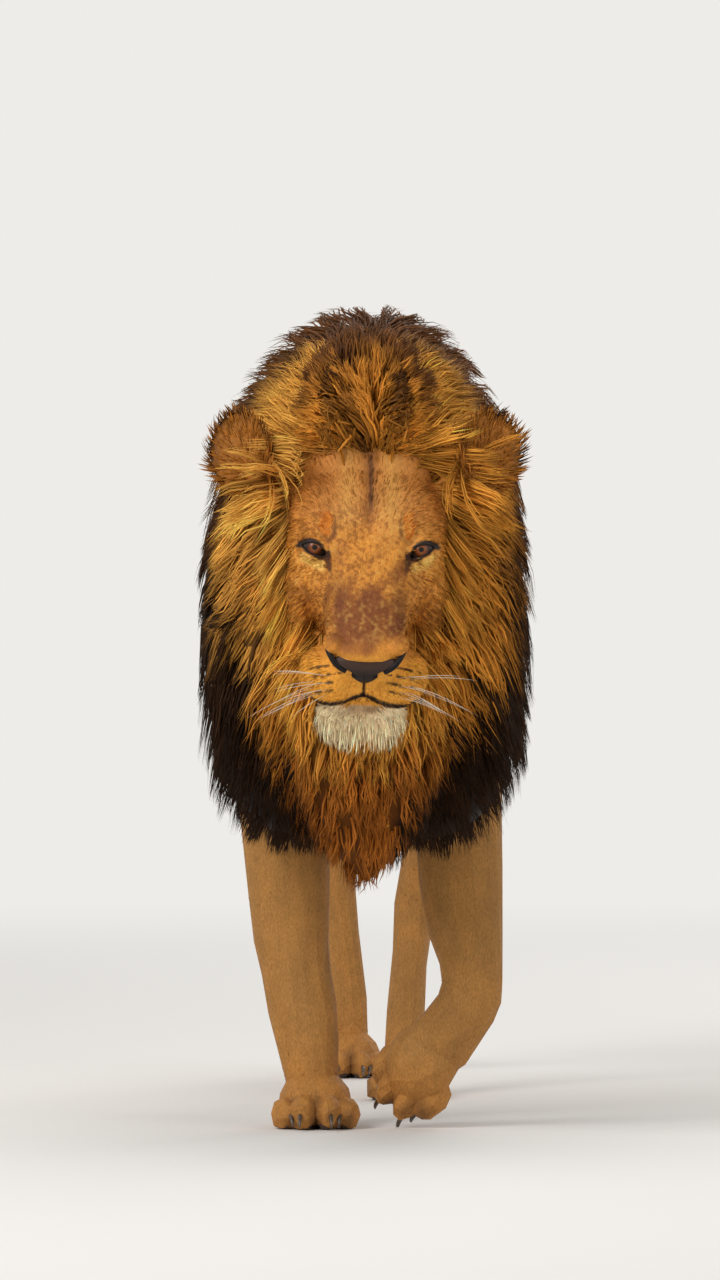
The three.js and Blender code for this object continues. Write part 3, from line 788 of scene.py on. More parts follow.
def faceMarkings(points, wander, fine):
    c, own = coatColours, toHead(points)
    ax, ahead, height = np.abs(own[:, 0]), -own[:, 1], faceHeight(own)
    spread = -np.abs(height + 96) * 1.15 - 0.9 * ax + 13 * wander + 9 * fine
    pad = ramp(ahead, 60, 92) * ramp(-height, 132, 150) * ramp(height, -214, -206)
    rows = np.sin((height + 0.16 * ax) * 2 * math.pi / 11.5)  # the whiskers' rows
    spots = ramp(rows, 0.3, 0.75) * ramp(ripple(points, 14, 3), -0.7, 0.1) * pad * ramp(ax, 26, 36)
    spots = spots * ramp(-ax, -80, -66) * ramp(-height, 148, 156) * ramp(height, -200, -190)
    chin = ramp(-height, 206, 212) * ramp(ahead, 58, 84) * ramp(-ax, -72, -60)
    brown = ramp(-(ax / 30) ** 2 - ((height + 206) / 13) ** 2 + 0.4 * fine, -1.3, -0.3)
    mouth = 1 - ramp(np.abs(height - np.interp(ax, *mouthLine.T)), 2.0, 4.6)
    groove = (1 - ramp(ax, 1.0, 3.2)) * ramp(-height, 164, 170) * ramp(height, -200, -194)
    onFront = ramp(ahead, 60, 90) * ramp(-ax, -92, -84)
    top = ramp(height, 20, 60)
    parting = 1 - ramp(np.abs(own[:, 0] - 1 - 2 * wander), 1.2, 5)
    parting = parting * ramp(height, 50, 70) * ramp(-height, -150, -115)
    speck = 0.6 * ripple(points, 7, 2) + 0.6 * ripple(points, 12, 0) + 0.5 * wander
    short = ramp(height, -135, -100) * ramp(ahead, -60, -10)
    bridgeSideShade = np.exp(-((ax - 44) / 15) ** 2 - ((height + 62) / 42) ** 2) * ramp(ahead, -30, 20)
    mottle = ramp(fine, 0.1, 1.0) * ramp(height, -120, -60) * ramp(ahead, -10, 40)
    return layered(
        c["face"][None],
        (c["brow"], ramp(height, 10, 60) * (1 - 0.4 * ramp(ax, 40, 90))),
        (c["bridge"], ramp(spread, -84, -40) * ramp(ahead, 50, 90) * 0.88),
        (c["pad"], pad),
        (c["dark"], spots * 0.9),
        (c["chin"], chin),
        (c["chinBrown"], chin * brown * 0.7),
        (c["dark"], mouth * onFront),
        (c["dark"], groove * onFront),
        *eyeLayers(points, -1, fine),
        *eyeLayers(points, 1, fine),
        # a painted highlight on the forehead's ridges, and painted shade down its middle
        (c["cream"] * 0.9, np.exp(-((ax - 30) / 13) ** 2) * top * 0.26),
        (c["bridge"] * 0.8, np.exp(-((ax + 4 * fine) / 11) ** 2) * top * 0.5),
        # a dark line down the forehead's furrow: the hair's parting, darkened further as painted shade in the
        # crease
        (c["dark"] * 1.5, parting * 0.7),
        (c["bridge"] * 0.7, ramp(speck, 0.15, 0.8) * short * 0.5),
        (c["cream"] * 0.9, ramp(-speck, 0.3, 1.0) * short * 0.25),
        # painted shade beside the bridge, over the brown mottle the fur has there
        (c["bridge"] * 0.72, np.clip(bridgeSideShade * (0.6 + 0.5 * fine), 0, 1) * 0.8),
        (c["bridge"], mottle * 0.3),
    )


def earLayer(points, side, fine):  # dark along the upper edge
    c, (turn, at) = coatColours, earPlace(side)
    own = (points - at) @ turn
    out = np.sqrt((own[:, 0] / ear["radii"][0]) ** 2 + (own[:, 2] / ear["radii"][2]) ** 2)
    onEar = ramp(-np.linalg.norm(own / [1, 1.6, 1], axis=1), -78, -66) * ramp(np.abs(points[:, 0]), 112, 124)
    edge = ramp(out + 0.1 * fine, 0.74, 0.98) * ramp(own[:, 2], -30, 10)
    return mixed(c["earBack"][None], c["earEdge"], edge), onEar


def toeCleftShade(points, leg):  # painted shade in the clefts between the toes
    own = (points - leg["at"]) @ leg["turn"] * (pawWidth / leg["width"])
    cleft = np.abs(np.abs(own[:, :1]) - [0, 31]).min(1)
    low = ramp(-own[:, 1], 34, 58) * ramp(-own[:, 1], -110, -100) * ramp(-own[:, 2], -52, -40)
    return coatColours["dark"] * 1.5, (1 - ramp(cleft, 1.5, 5)) * low * (np.abs(own[:, 0]) < 60) * 0.6


def markings(points):  # the coat's colour anywhere on the skin
    y, z = points[:, 1:].T
    wander, fine = ripple(points, 90, 4), ripple(points, 26, 5)
    return layered(
        bodyMarkings(points, wander, fine),
        (faceMarkings(points, wander, fine), ramp(-y, 790, 860) * ramp(z, 500, 560)),
        earLayer(points, -1, fine),
        earLayer(points, 1, fine),
        *[toeCleftShade(points, leg) for leg in legs],
        (coatColours["dark"], ramp(y, 805, 850) * ramp(-z, -470, -380)),  # the end of the tail
    )


def skinMaterial():  # the painted colour, broken up by short hairs and a soft mottle
    material, tree, shader = newMaterial("short coat", skinLook["finish"])
    tint = addNode(tree, "Attribute", attribute_name="tint")
    spot = addNode(tree, "TexCoord")
    lie = addNode(tree, "Mapping", {"Scale": skinLook["hairs"]})
    hairs = addNode(tree, "TexNoise", {"Scale": 1.0, "Detail": 4.0})
    mottle = addNode(tree, "TexNoise", {"Scale": 34.0, "Detail": 5.0})
    tone = addNode(tree, "MapRange", {"From Min": 0.3, "From Max": 0.7, "To Min": 0.9, "To Max": 1.09})
    streak = addNode(tree, "MapRange", {"From Min": 0.3, "From Max": 0.7, "To Min": 0.78, "To Max": 1.2})
    both = addNode(tree, "Math", operation="MULTIPLY")
    shaded = addNode(tree, "VectorMath", operation="SCALE")
    wire(tree, (spot, "Object", lie, "Vector"), (lie, 0, hairs, "Vector"),
         (spot, "Object", mottle, "Vector"), (mottle, "Fac", tone, "Value"),
         (hairs, "Fac", streak, "Value"), (tone, 0, both, 0), (streak, 0, both, 1),
         (tint, "Color", shaded, 0), (both, 0, shaded, "Scale"), (shaded, 0, shader, "Base Color"))
    emboss(tree, shader, hairs, "Fac", *skinLook["relief"])
    return material


skin = buildSkin()
fleshNodes = [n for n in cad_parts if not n.startswith(("mane", "eye", "nose", "tail_tuft"))]
paint(skin, "tint", markings(pointsOf(skin)))
place("skin", skin, skinMaterial(), "tawny_hide", *fleshNodes)
print("skin", len(skin.vertices), "points", len(skin.polygons), "faces")


eyeLook = {
    "radius": 18.6,
    "iris": 10.2,
    "pupil": 3.5,
    "amber": linear(104, 48, 12),
    "inner": linear(140, 74, 24),
    "rim": linear(44, 24, 12),
    "white": linear(46, 32, 24),
    "pupilTone": np.array([0.004, 0.003, 0.003]),
    "finish": {"Roughness": 0.3, "Coat Weight": 0.25, "Coat Roughness": 0.03, "Specular IOR Level": 0.2},
    "gaze": (0.0, -1, 0.01),
}


# A ball, pushed out over the iris; fibres, rim and pupil are rings by the way out from its middle.
def makeEyes():
    look = eyeLook
    material = newMaterial("eye", look["finish"], tinted=True)[0]
    for side, name in ((-1, "right"), (1, "left")):
        points, quads, caps = ballMesh((0, 0, 0), [look["radius"]] * 3, around=96, down=96)
        points = points @ np.array([[1, 0, 0], [0, 0, 1], [0, -1, 0]], float)  # its pole looks along -Y
        out = np.hypot(points[:, 0], points[:, 2])
        front = points[:, 1] < 0
        angle = np.arctan2(points[:, 2], points[:, 0])
        fibres = 0.5 + 0.5 * np.sin(angle * 23 + 2 * np.sin(angle * 7)) * np.sin(angle * 41 + 1)
        iris = mixed(look["inner"][None], look["amber"][None], ramp(out, 3, 7.5)[:, None])
        iris = iris * (0.75 + 0.35 * fibres)[:, None]
        iris = mixed(iris, look["rim"], ramp(out, look["iris"] - 2.2, look["iris"]))
        colour = mixed(iris, look["white"], np.where(front, ramp(out, look["iris"], look["iris"] + 0.8), 1))
        pupil = np.where(front, 1 - ramp(out, look["pupil"] - 0.5, look["pupil"] + 0.4), 0)
        colour = mixed(colour, look["pupilTone"], pupil)
        bulge = np.where(front, 1.3 * (1 - ramp(out, 4, 12)), 0)
        points = points + unitOf(points) * bulge[:, None]
        points = points @ facing(look["gaze"], (0, 0, 1)).T + eyeMiddle(side)
        mesh = meshFrom(f"eye_{name}", points, quads, caps)
        paint(mesh, "tint", colour)
        place(f"eye{name.capitalize()}", mesh, material, "eye_glass", f"eye_{name}")


# Each lid is a band round the opening: it rolls over the edge, follows the ball and runs out into the skin.
lidLook = {
    "profile": [  # out from the opening's edge, radius on the ball, share that follows the skin, how proud
        (-0.5, 17.6, 0, 0),
        (-0.2, 19.4, 0, 0),
        (0.7, 20.6, 0, 0),
        (2.0, 21.4, 0.1, 0),
        (3.6, 21.8, 0.3, 0.6),
        (5.6, 21.6, 0.65, 0.7),
        (8.0, 21.0, 1, 0.1),
        (10.5, 20.0, 1, -2.5),
    ],
    "around": 128,
    "thick": 5.0,
    "finish": {"Roughness": 0.55, "Specular IOR Level": 0.25},
}


def makeLids():
    material = newMaterial("lids", lidLook["finish"], tinted=True)[0]
    outline = np.concatenate([lidUpper, lidLower[-2:0:-1]])
    closed = np.concatenate([outline, outline[:1]])
    run = np.append(0, np.cumsum(np.linalg.norm(np.diff(closed, axis=0), axis=1)))
    along = np.linspace(0, run[-1], lidLook["around"] + 1)[:-1]
    edge = np.stack([np.interp(along, run, closed[:, k]) for k in (0, 1)], 1)
    for _ in range(6):
        edge = (edge + np.roll(edge, 1, 0) + np.roll(edge, -1, 0)) / 3
    tangent = unitOf(np.roll(edge, -1, 0) - np.roll(edge, 1, 0))
    outward = np.stack([-tangent[:, 1], tangent[:, 0]], 1)
    skinPoints = pointsOf(skin)
    for side, name in ((-1, "Right"), (1, "Left")):
        u, v, w = lidSpace(skinPoints, side)
        near = (np.abs(u) < 48) & (np.abs(v) < 42) & (w > -14) & (insideLids(u, v) < -1.2)
        u, v, w = u[near], v[near], w[near]
        rings = []
        for out, radius, toSkin, proud in lidLook["profile"]:
            flat = edge + outward * out
            ball = np.sqrt(np.maximum(radius ** 2 - (flat ** 2).sum(1), 9.0))
            away = (flat[:, :1] - u) ** 2 + (flat[:, 1:] - v) ** 2
            weight = np.exp(-away / 8.0) + 1e-12
            ground = (weight @ w) / weight.sum(1)
            depth = (1 - toSkin) * ball + toSkin * ground + proud
            rings.append(np.stack([flat[:, 0] * side, -depth, flat[:, 1]], 1))
        rings = np.stack(rings)
        count, around = rings.shape[:2]
        back = rings[[0, -1]] + [0, lidLook["thick"], 0]
        rings = np.concatenate([rings.reshape(-1, 3), back.reshape(-1, 3)])
        first, last, inner, outer = 0, (count - 1) * around, count * around, (count + 1) * around
        j = np.arange(around)
        n = (j + 1) % around
        walls = [
            np.stack([inner + j, first + j, first + n, inner + n], -1),
            np.stack([last + j, outer + j, outer + n, last + n], -1),
            np.stack([outer + j, inner + j, inner + n, outer + n], -1),
        ]
        quads = np.concatenate([ringFaces(count, around), *walls])
        if side < 0:
            quads = quads[:, ::-1]
        points = rings + eyeMiddle(side)
        mesh = meshFrom(f"lids{name}", points, quads)
        u, v, w = lidSpace(points, side)
        shade = np.maximum(lidShade(u, v), 1 - ramp(-insideLids(u, v), 0.6, 1.8))
        paint(mesh, "tint", mixed(markings(points), coatColours["dark"] * 0.4, shade))
        place(f"lids{name}", mesh, material, "nose_leather")


makeEyes()
makeLids()
print("eyes and lids are in")


noseRows = [
    [0, -156, -66, 34, 9, 14],
    [0, -160, -75, 43, 14, 12, 2.6],
    [0, -161, -84, 37, 16, 12, 2.6],
    [0, -160, -95, 20, 14, 12],
    [0, -155, -104, 7, 10, 12],
]
nostrilRows = [  # the slit beside the pad, rising to its outer end
    [26, -169, -87, 3.5, 4, 6],
    [37, -167, -80, 4.5, 4, 6],
    [46, -162, -71, 4, 4, 6],
    [53, -153, -62, 3, 3, 4],
    [57, -143, -55, 1, 1.5, 1.5],
]


noseLook = {
    "pad": (linear(36, 25, 21), linear(60, 42, 34)),  # below, darker as painted shade on the pad's front, and above, lighter as painted light on its top
    # the slits and nostrils near black, as painted shade inside their openings
    "slit": linear(10, 7, 6),
    "nostril": linear(12, 8, 7),
    "deep": (7, 2.5),  # the slits beside the pad, and the groove in its middle, in mm
    "finish": {"Roughness": 0.5, "Specular IOR Level": 0.22},
    "grain": 620.0,
    "relief": (0.35, 0.0006),
}


# The pad is a tube, pressed in along the slits' line and the groove; each nostril is a tube of its own.
def makeNose():
    look = noseLook
    material, tree, shader = newMaterial("nose leather", look["finish"], tinted=True)
    grain = addNode(tree, "TexVoronoi", {"Scale": look["grain"]})
    wire(tree, (addNode(tree, "TexCoord"), "Object", grain, "Vector"))
    emboss(tree, shader, grain, "Distance", *look["relief"])
    points, quads, caps = tubeMesh(noseRows, 128, 24)
    x, y, z = points.T
    ax = np.abs(x)
    slitX = np.linspace(12, 46, 40)
    slitZ = np.interp(slitX, [12, 22, 32, 40, 46], [-94, -91, -87, -81, -74])
    away = np.sqrt((ax[:, None] - slitX) ** 2 + (z[:, None] - slitZ) ** 2)
    wide = np.interp(slitX, [12, 22, 32, 46], [1.5, 5.0, 5.5, 4.0])
    slit = (1 - ramp((away / wide).min(1), 0.6, 1.5)) * (y < -150)
    middle = (1 - ramp(ax, 0.8, 3.0)) * ramp(-z, 84, 92) * (y < -150)
    outward = unitOf(points - np.array([0, -138, -80]))
    points = points - outward * (look["deep"][0] * slit + look["deep"][1] * middle)[:, None]
    below, above = look["pad"]
    # the pad lighter on top as painted light, darker in front as painted shade
    leather = mixed(below[None], above, ramp(z, -90, -76))
    # the slits and the middle groove painted near black, as the shade inside them
    colour = mixed(leather, look["slit"], np.maximum(slit, 0.8 * middle))
    forms, colours = [(points, quads, caps)], [colour]
    for s in (-1, 1):
        rows = [[x * s, *rest] for x, *rest in nostrilRows]
        form = tubeMesh(rows, 24, 6)
        forms.append(form)
        # each nostril tube is near black, standing for the shade inside the opening
        colours.append(np.tile(look["nostril"], (len(form[0]), 1)))
    points, quads, caps = together(forms)
    mesh = meshFrom("nose", fromHead(points), quads, caps)
    paint(mesh, "tint", np.concatenate(colours))
    place("nosePad", mesh, material, "nose_leather", "nose")


makeNose()
print("nose is in")


feetLook = {
    "claw": [  # the profile, in a toe of its own
        [0, -84, 21, 3.4, 3.4, 3.4],
        [0, -93, 17, 3.0, 3.2, 2.8],
        [0, -99, 10, 1.8, 2, 1.6],
        [0, -101, 4, 0.4, 0.5, 0.4],
    ],
    "horn": {"Base Color": (*linear(74, 58, 46), 1), "Roughness": 0.35, "Coat Weight": 0.2,
             "Coat Roughness": 0.03},
    "pad": {"Base Color": (*linear(66, 50, 40), 1), "Roughness": 0.75},
    "off": (0.4, 0.3),  # how far claws and pads stay off the ground
}


# Each claw is a bent cone at the tip of a toe, each pad a flat ball sunk into the sole.
def makeFeet():
    horn = newMaterial("claw horn", feetLook["horn"])[0]
    leather = newMaterial("pad leather", feetLook["pad"])[0]
    clawOff, padOff = feetLook["off"]
    claws, pads = [], []
    for leg in legs:
        w = leg["width"] / pawWidth
        for x, y, z, radii, spin in toes:
            for s in (1, -1):
                rows = np.array(feetLook["claw"])
                rows[:, :3] += (0, y + 56, 0)
                rows[:, 3:] *= w
                rows[:, :3] = (rows[:, :3] @ turned(0, 0, spin * s).T + (x * s, 0, 0)) * w
                rows[:, 2] = np.maximum(rows[:, 2], 2)
                claw, *faces = moved(tubeMesh(rows, 12, 4), leg["turn"], leg["at"])
                claw[:, 2] = np.maximum(claw[:, 2], clawOff)
                claws.append((claw, *faces))
        for form in onPaw(leg, soles, 0):
            own = (form[0] - leg["at"]) @ leg["turn"]
            own[:, 2] = np.maximum(own[:, 2], padOff)
            pads.append((own @ leg["turn"].T + leg["at"], *form[1:]))
    place("claws", meshFrom("claws", *together(claws)), horn, "nose_leather")
    place("pawPads", meshFrom("pawPads", *together(pads)), leather, "nose_leather")


makeFeet()
print("claws and pads are in")


def guided(points, guides, reach):  # the way and length that the nearest guides give, by a smooth weight
    away = ((points[:, None, :] - guides[None, :, :3]) ** 2).sum(-1)
    weight = np.exp((away.min(1)[:, None] - away) / (2 * reach * reach))
    blend = (weight @ guides[:, 3:]) / weight.sum(1)[:, None]
    return unitOf(blend[:, :3]), blend[:, 3]


def bothSides(rows):  # guides given for the left side, and the same on the right
    rows = np.array(rows, float)
    right = rows * np.array([-1, 1, 1, -1, 1, 1, 1])
    return np.concatenate([rows, right[rows[:, 0] > 0]])


def frameOn(rows, t, angle):  # the point, its slopes along t and angle, and the way out
    here = onTube(rows, t, angle)
    slopeT = (onTube(rows, t + 0.02, angle) - here) / 0.02
    slopeA = (onTube(rows, t, angle + 0.02) - here) / 0.02
    return here, slopeT, slopeA, unitOf(np.cross(slopeT, slopeA))


# From the tip back to the root: each step goes against the lie along the form, and sinks below it.
def combed(coat, t, angle, lengths, depth):
    curve, outward = [], []
    stride = (lengths / (coat["points"] - 1))[:, None]
    sunk = depth[:, None]
    for _ in range(coat["points"]):
        here, slopeT, slopeA, out = frameOn(coat["rows"], t, angle)
        spot = here - out * sunk
        curve.append(spot)
        outward.append(out)
        way = coat["lie"](spot)
        rising = dot(way, out)
        flat = way - out * rising
        sunk = sunk + stride * (np.maximum(rising, 0) + coat["sink"])
        tt, ta, aa = dot(slopeT, slopeT), dot(slopeT, slopeA), dot(slopeA, slopeA)
        bt, ba = dot(slopeT, flat), dot(slopeA, flat)
        spread = np.maximum(tt * aa - ta * ta, 1e-3)
        t = t - (stride * (aa * bt - ta * ba) / spread)[:, 0]
        angle = angle - (stride * (tt * ba - ta * bt) / spread)[:, 0]
    return np.stack(curve[::-1], 1), np.stack(outward[::-1], 1)


def scattered(coat, rng):  # over the form's area, thicker where the coat's density asks
    t = rng.uniform(*coat["span"], coat["clumps"] * 8)
    angle = rng.uniform(0, 2 * math.pi, coat["clumps"] * 8)
    here, slopeT, slopeA, _ = frameOn(coat["rows"], t, angle)
    area = np.linalg.norm(np.cross(slopeT, slopeA), axis=1)
    area = area * coat["density"](here) if "density" in coat else area
    keep = rng.choice(len(t), coat["clumps"], replace=False, p=area / area.sum())
    return t[keep], angle[keep]


# The locks of a clump draw in to its middle's tip by s^1.6 and swing and curl by s * sin(length / turn).
def gathered(curve, outward, middle, own, lengths, coat, rng):
    count, points = curve.shape[:2]
    s = np.linspace(0, 1, points)[None, :, None]
    gather = rng.uniform(*coat["pull"], count)[:, None, None] * s ** 1.6
    curve = curve + gather * (middle[own][:, -1:] - curve[:, -1:])
    bend, turn, frizz = coat["wave"]
    sideways = unitOf(np.cross(unitOf(np.gradient(curve, axis=1)), outward))
    way = s * lengths[:, None, None]
    swing = np.sin(2 * math.pi * (way / turn + rng.random(len(middle))[own][:, None, None]))
    curl = np.sin(2 * math.pi * (way / (turn * 0.45) + rng.random(count)[:, None, None]))
    return curve + sideways * s * (bend * swing + frizz * curl)


def formLocks(rng, coat):  # clumps over a form, and the locks of each one beside its middle
    clumps = coat["clumps"]
    t, angle = scattered(coat, rng)
    here, slopeT, slopeA, _ = frameOn(coat["rows"], t, angle)
    lengths = coat["reach"](here) * rng.uniform(0.8, 1.15, clumps)
    sunk = rng.uniform(*coat["depth"], clumps)
    middle, _ = combed(coat, t, angle, lengths, sunk)
    own = np.repeat(np.arange(clumps), coat["perClump"])
    count = len(own)
    tOwn = t[own] + rng.normal(0, coat["spread"], count) / np.linalg.norm(slopeT, axis=1)[own]
    aOwn = angle[own] + rng.normal(0, coat["spread"], count) / np.linalg.norm(slopeA, axis=1)[own]
    shorter = lengths[own] * rng.uniform(0.7, 1.08, count)
    curve, outward = combed(coat, tOwn, aOwn, shorter, sunk[own] + rng.normal(0, 3, count))
    curve = gathered(curve, outward, middle, own, shorter, coat, rng)
    return {"curve": curve, "outward": outward, "clump": own, "length": shorter, "t": tOwn, "angle": aOwn}


patchSize = 0.003  # the width of a lock's patch on the OFBake map


# Closed three-sided locks: two edges and a ridge carried along each curve, thinning to the tip.
def lockMesh(name, locks, widths, colours, patch, thick=0.3, fade=(0.55, 1.0, 1.12)):
    curve, outward = locks["curve"], locks["outward"]
    count, points = curve.shape[:2]
    s = np.linspace(0, 1, points)
    heading = unitOf(np.gradient(curve, axis=1))
    across = unitOf(np.cross(heading, outward))
    up = np.cross(across, heading)
    shape = (0.55 + 0.45 * np.sin(math.pi * np.minimum(s * 1.4, 1) / 2)) * (1 - s ** 3)
    half = 0.5 * widths[:, None, None] * shape[None, :, None]
    rings = np.stack([curve - across * half, curve + across * half, curve + up * half * 2 * thick], 2)
    own = np.concatenate([rings[:, :-1].reshape(count, -1, 3), curve[:, -1:]], 1)
    per, last = own.shape[1], 3 * (points - 2)
    quads = ringFaces(points - 1, 3)[:, ::-1]
    a, b, c, tip = last, last + 1, last + 2, per - 1
    caps = np.array([[0, 2, 1], [a, b, tip], [b, c, tip], [c, a, tip]])
    starts = (np.arange(count) * per)[:, None, None]
    mesh = meshFrom(name, own.reshape(-1, 3), (quads + starts).reshape(-1, 4), (caps + starts).reshape(-1, 3))
    along = np.append(np.repeat(s[:-1], 3), 1.0)  # from root to tip, and from edge to edge, 0 to 1
    aside = np.append(np.tile([0.0, 1.0, 0.5], points - 1), 0.5)
    shade = np.interp(along, [0, 0.45, 1], fade)
    paint(mesh, "tint", (colours[:, None, :] * shade[None, :, None]).reshape(-1, 3))
    offsets = (np.arange(count) * 7.31 % 97)[:, None]  # so that no two locks show the same streaks
    strands = np.stack([aside * widths[:, None] + offsets, along * locks["length"][:, None],
                        np.broadcast_to(offsets, (count, per))], -1)
    strand = mesh.attributes.new("strand", "FLOAT_VECTOR", "POINT")
    strand.data.foreach_set("vector", strands.astype(np.float32).ravel())
    uv = np.stack([patch[:, :1] + patchSize * aside, patch[:, 1:] + patchSize * along], -1).reshape(-1, 2)
    uv = uv[taken(mesh.loops, "vertex_index", np.int32, 1)[:, 0]]
    mesh.uv_layers.new(name="OFBake").uv.foreach_set("vector", uv.astype(np.float32).ravel())
    return mesh


def patchAt(locks, corner, span, last):  # where a lock's root lies on the unwrapped form
    return np.stack([
        corner[0] + span[0] * ((locks["angle"] / (2 * math.pi)) % 1),
        corner[1] + span[1] * np.clip(locks["t"] / last, 0, 1),
    ], 1)


def only(locks, keep):
    return {key: value[keep] for key, value in locks.items()}


def nodeGroup(name, inputs, outputs):
    group = bpy.data.node_groups.new(name, "ShaderNodeTree")
    for label, (kind, value) in inputs.items():
        socket = group.interface.new_socket(label, in_out="INPUT", socket_type="NodeSocket" + kind)
        if kind == "Float":
            socket.default_value = value
    for label, kind in outputs.items():
        group.interface.new_socket(label, in_out="OUTPUT", socket_type="NodeSocket" + kind)
    return group, group.nodes.new("NodeGroupInput"), group.nodes.new("NodeGroupOutput")


def strandGroup():  # fine light and dark streaks that run along each lock
    inputs = {"Tint": ("Color", None), "Depth": ("Float", 0.35), "Fineness": ("Float", 1.0)}
    group, given, made = nodeGroup("hair streaks", inputs, {"Color": "Color", "Height": "Float"})
    strand = addNode(group, "Attribute", attribute_name="strand")
    stretch = addNode(group, "VectorMath", {1: (1.3, 0.016, 1.0)}, operation="MULTIPLY")
    finer = addNode(group, "VectorMath", operation="SCALE")
    streak = addNode(group, "TexNoise", {"Scale": 1.0, "Detail": 3.0, "Roughness": 0.65})
    spread = addNode(group, "MapRange", {"From Min": 0.3, "From Max": 0.7})
    low = addNode(group, "Math", {0: 1.0}, operation="SUBTRACT")
    high = addNode(group, "Math", {0: 1.0}, operation="ADD")
    shaded = addNode(group, "VectorMath", operation="SCALE")
    wire(group, (strand, "Vector", stretch, 0), (stretch, 0, finer, 0), (given, "Fineness", finer, "Scale"),
         (finer, 0, streak, "Vector"), (streak, "Fac", spread, "Value"), (given, "Depth", low, 1),
         (given, "Depth", high, 1), (low, 0, spread, "To Min"), (high, 0, spread, "To Max"),
         (given, "Tint", shaded, 0), (spread, 0, shaded, "Scale"), (shaded, 0, made, "Color"),
         (streak, "Fac", made, "Height"))
    return group


hairStreaks = strandGroup()


def hairMaterial(name, depth, fineness, bump):
    material, tree, shader = newMaterial(name, {"Roughness": 0.62, "Specular IOR Level": 0.07})
    tint = addNode(tree, "Attribute", attribute_name="tint")
    streaks = addNode(tree, "Group", node_tree=hairStreaks)
    streaks.inputs["Depth"].default_value = depth
    streaks.inputs["Fineness"].default_value = fineness
    wire(tree, (tint, "Color", streaks, "Tint"), (streaks, "Color", shader, "Base Color"))
    emboss(tree, shader, streaks, "Height", bump, 0.001)
    return material


maneHair = hairMaterial("mane hair", 0.36, 1.0, 0.35)


def astray(points, length):  # a smooth random way at each point
    return np.stack([ripple(points, length, kind) for kind in (1, 2, 3)], 1)


def byGuides(guides, near, stray, length=150):  # the lie and the reach that guides give
    return {"lie": lambda points: unitOf(guided(points, guides, near)[0] + stray * astray(points, length)),
            "reach": lambda points: guided(points, guides, near)[1]}


def varied(colour, rng, clump, each, shared):  # lighter and darker from lock to lock and from clump to clump
    own = np.exp(rng.normal(0, each, len(colour)) + rng.normal(0, shared, clump.max() + 1)[clump])
    return colour * own[:, None]


skin.calc_loop_triangles()
skinCorners = taken(skin.loop_triangles, "vertices", np.int32, 3)
skinPoints, skinNormals = pointsOf(skin), normalsOf(skin)
skinMiddles = skinPoints[skinCorners].mean(1)
skinAreas = 0.5 * np.linalg.norm(np.cross(
    skinPoints[skinCorners[:, 1]] - skinPoints[skinCorners[:, 0]],
    skinPoints[skinCorners[:, 2]] - skinPoints[skinCorners[:, 0]],
), axis=1)


def rootsOn(rng, density):  # points spread over the skin, with so many to a square mm
    weight = skinAreas * density(skinMiddles)
    count = int(weight.sum())
    pick = rng.choice(len(weight), count, p=weight / weight.sum())
    first, second = np.sqrt(rng.random(count)), rng.random(count)
    share = np.stack([1 - first, first * (1 - second), first * second], 1)[:, :, None]
    corners = skinCorners[pick]
    return (skinPoints[corners] * share).sum(1), unitOf((skinNormals[corners] * share).sum(1))


def drawnOut(roots, out, coat, lengths, lift):  # curves that leave the skin and bend over into their lie
    points = coat["points"]
    way = coat["lie"](roots)
    flat = unitOf(way - out * dot(way, out))
    s = np.linspace(0, 1, points)[None, :, None]
    rise = lift[:, None, None] * (1 - s) + coat["settle"] * s
    loose = coat.get("loose", 0.0) * s
    heading = flat[:, None] * (1 - loose) + way[:, None] * loose + out[:, None] * rise
    steps = unitOf(heading)[:, :-1] * (lengths / (points - 1))[:, None, None]
    start = (roots - out * coat["buried"])[:, None]
    return np.concatenate([start, start + np.cumsum(steps, 1)], 1)


def skinLocks(rng, coat):  # the same, rooted in the skin
    middle, out = rootsOn(rng, coat["density"])
    clumps, each = len(middle), coat.get("perClump", 1)
    lengths = coat["reach"](middle) * rng.uniform(0.8, 1.15, clumps)
    own = np.repeat(np.arange(clumps), each)
    count = len(own)
    roots, ownOut = middle, out[own]
    if each > 1:
        stray = rng.normal(0, coat["spread"], (count, 3))
        roots = middle[own] + stray - ownOut * dot(stray, ownOut)
    shorter = lengths[own] * rng.uniform(0.75, 1.1, count)
    lift = rng.uniform(*coat["lift"], clumps)[own] + rng.normal(0, 0.06, count)
    curve = drawnOut(roots, ownOut, coat, shorter, lift)
    outward = np.repeat(ownOut[:, None], coat["points"], 1)
    if each > 1:
        lead = drawnOut(middle, out, coat, lengths, lift[::each])
        curve = gathered(curve, outward, lead, own, shorter, coat, rng)
    return {"curve": curve, "outward": outward, "clump": own, "length": shorter, "root": roots}


hipLevel = 560  # below this the skin is all leg and tail


# An unwrap of the skin: trunk and head round the long axis, each leg and the tail round its own, ears apart.
def unwrapped(points):
    x, y, z = points.T
    isLeg = z < hipLevel
    number = np.select([isLeg & (y < 0) & (x < 0), isLeg & (y < 0), isLeg & (x < 20)], [0, 1, 2], 3)
    middle = np.array([[-100, -450], [130, -520], [-60, 480], [80, 290]], float)[number]
    trunkTurn = np.arctan2(x, z - 780) / (2 * math.pi) + 0.5
    legTurn = np.arctan2(x - middle[:, 0], y - middle[:, 1]) / (2 * math.pi) + 0.5
    u = np.where(isLeg, 0.51 + 0.24 * (number % 2) + 0.22 * legTurn, 0.01 + 0.48 * trunkTurn)
    legRise, trunkRun = np.clip(z / hipLevel, 0, 1), np.clip((y + 1150) / 2100, 0, 1)
    v = np.where(isLeg, 0.01 + 0.48 * (number // 2) + 0.46 * legRise, 0.01 + 0.97 * trunkRun)
    return np.stack([u, v], 1)


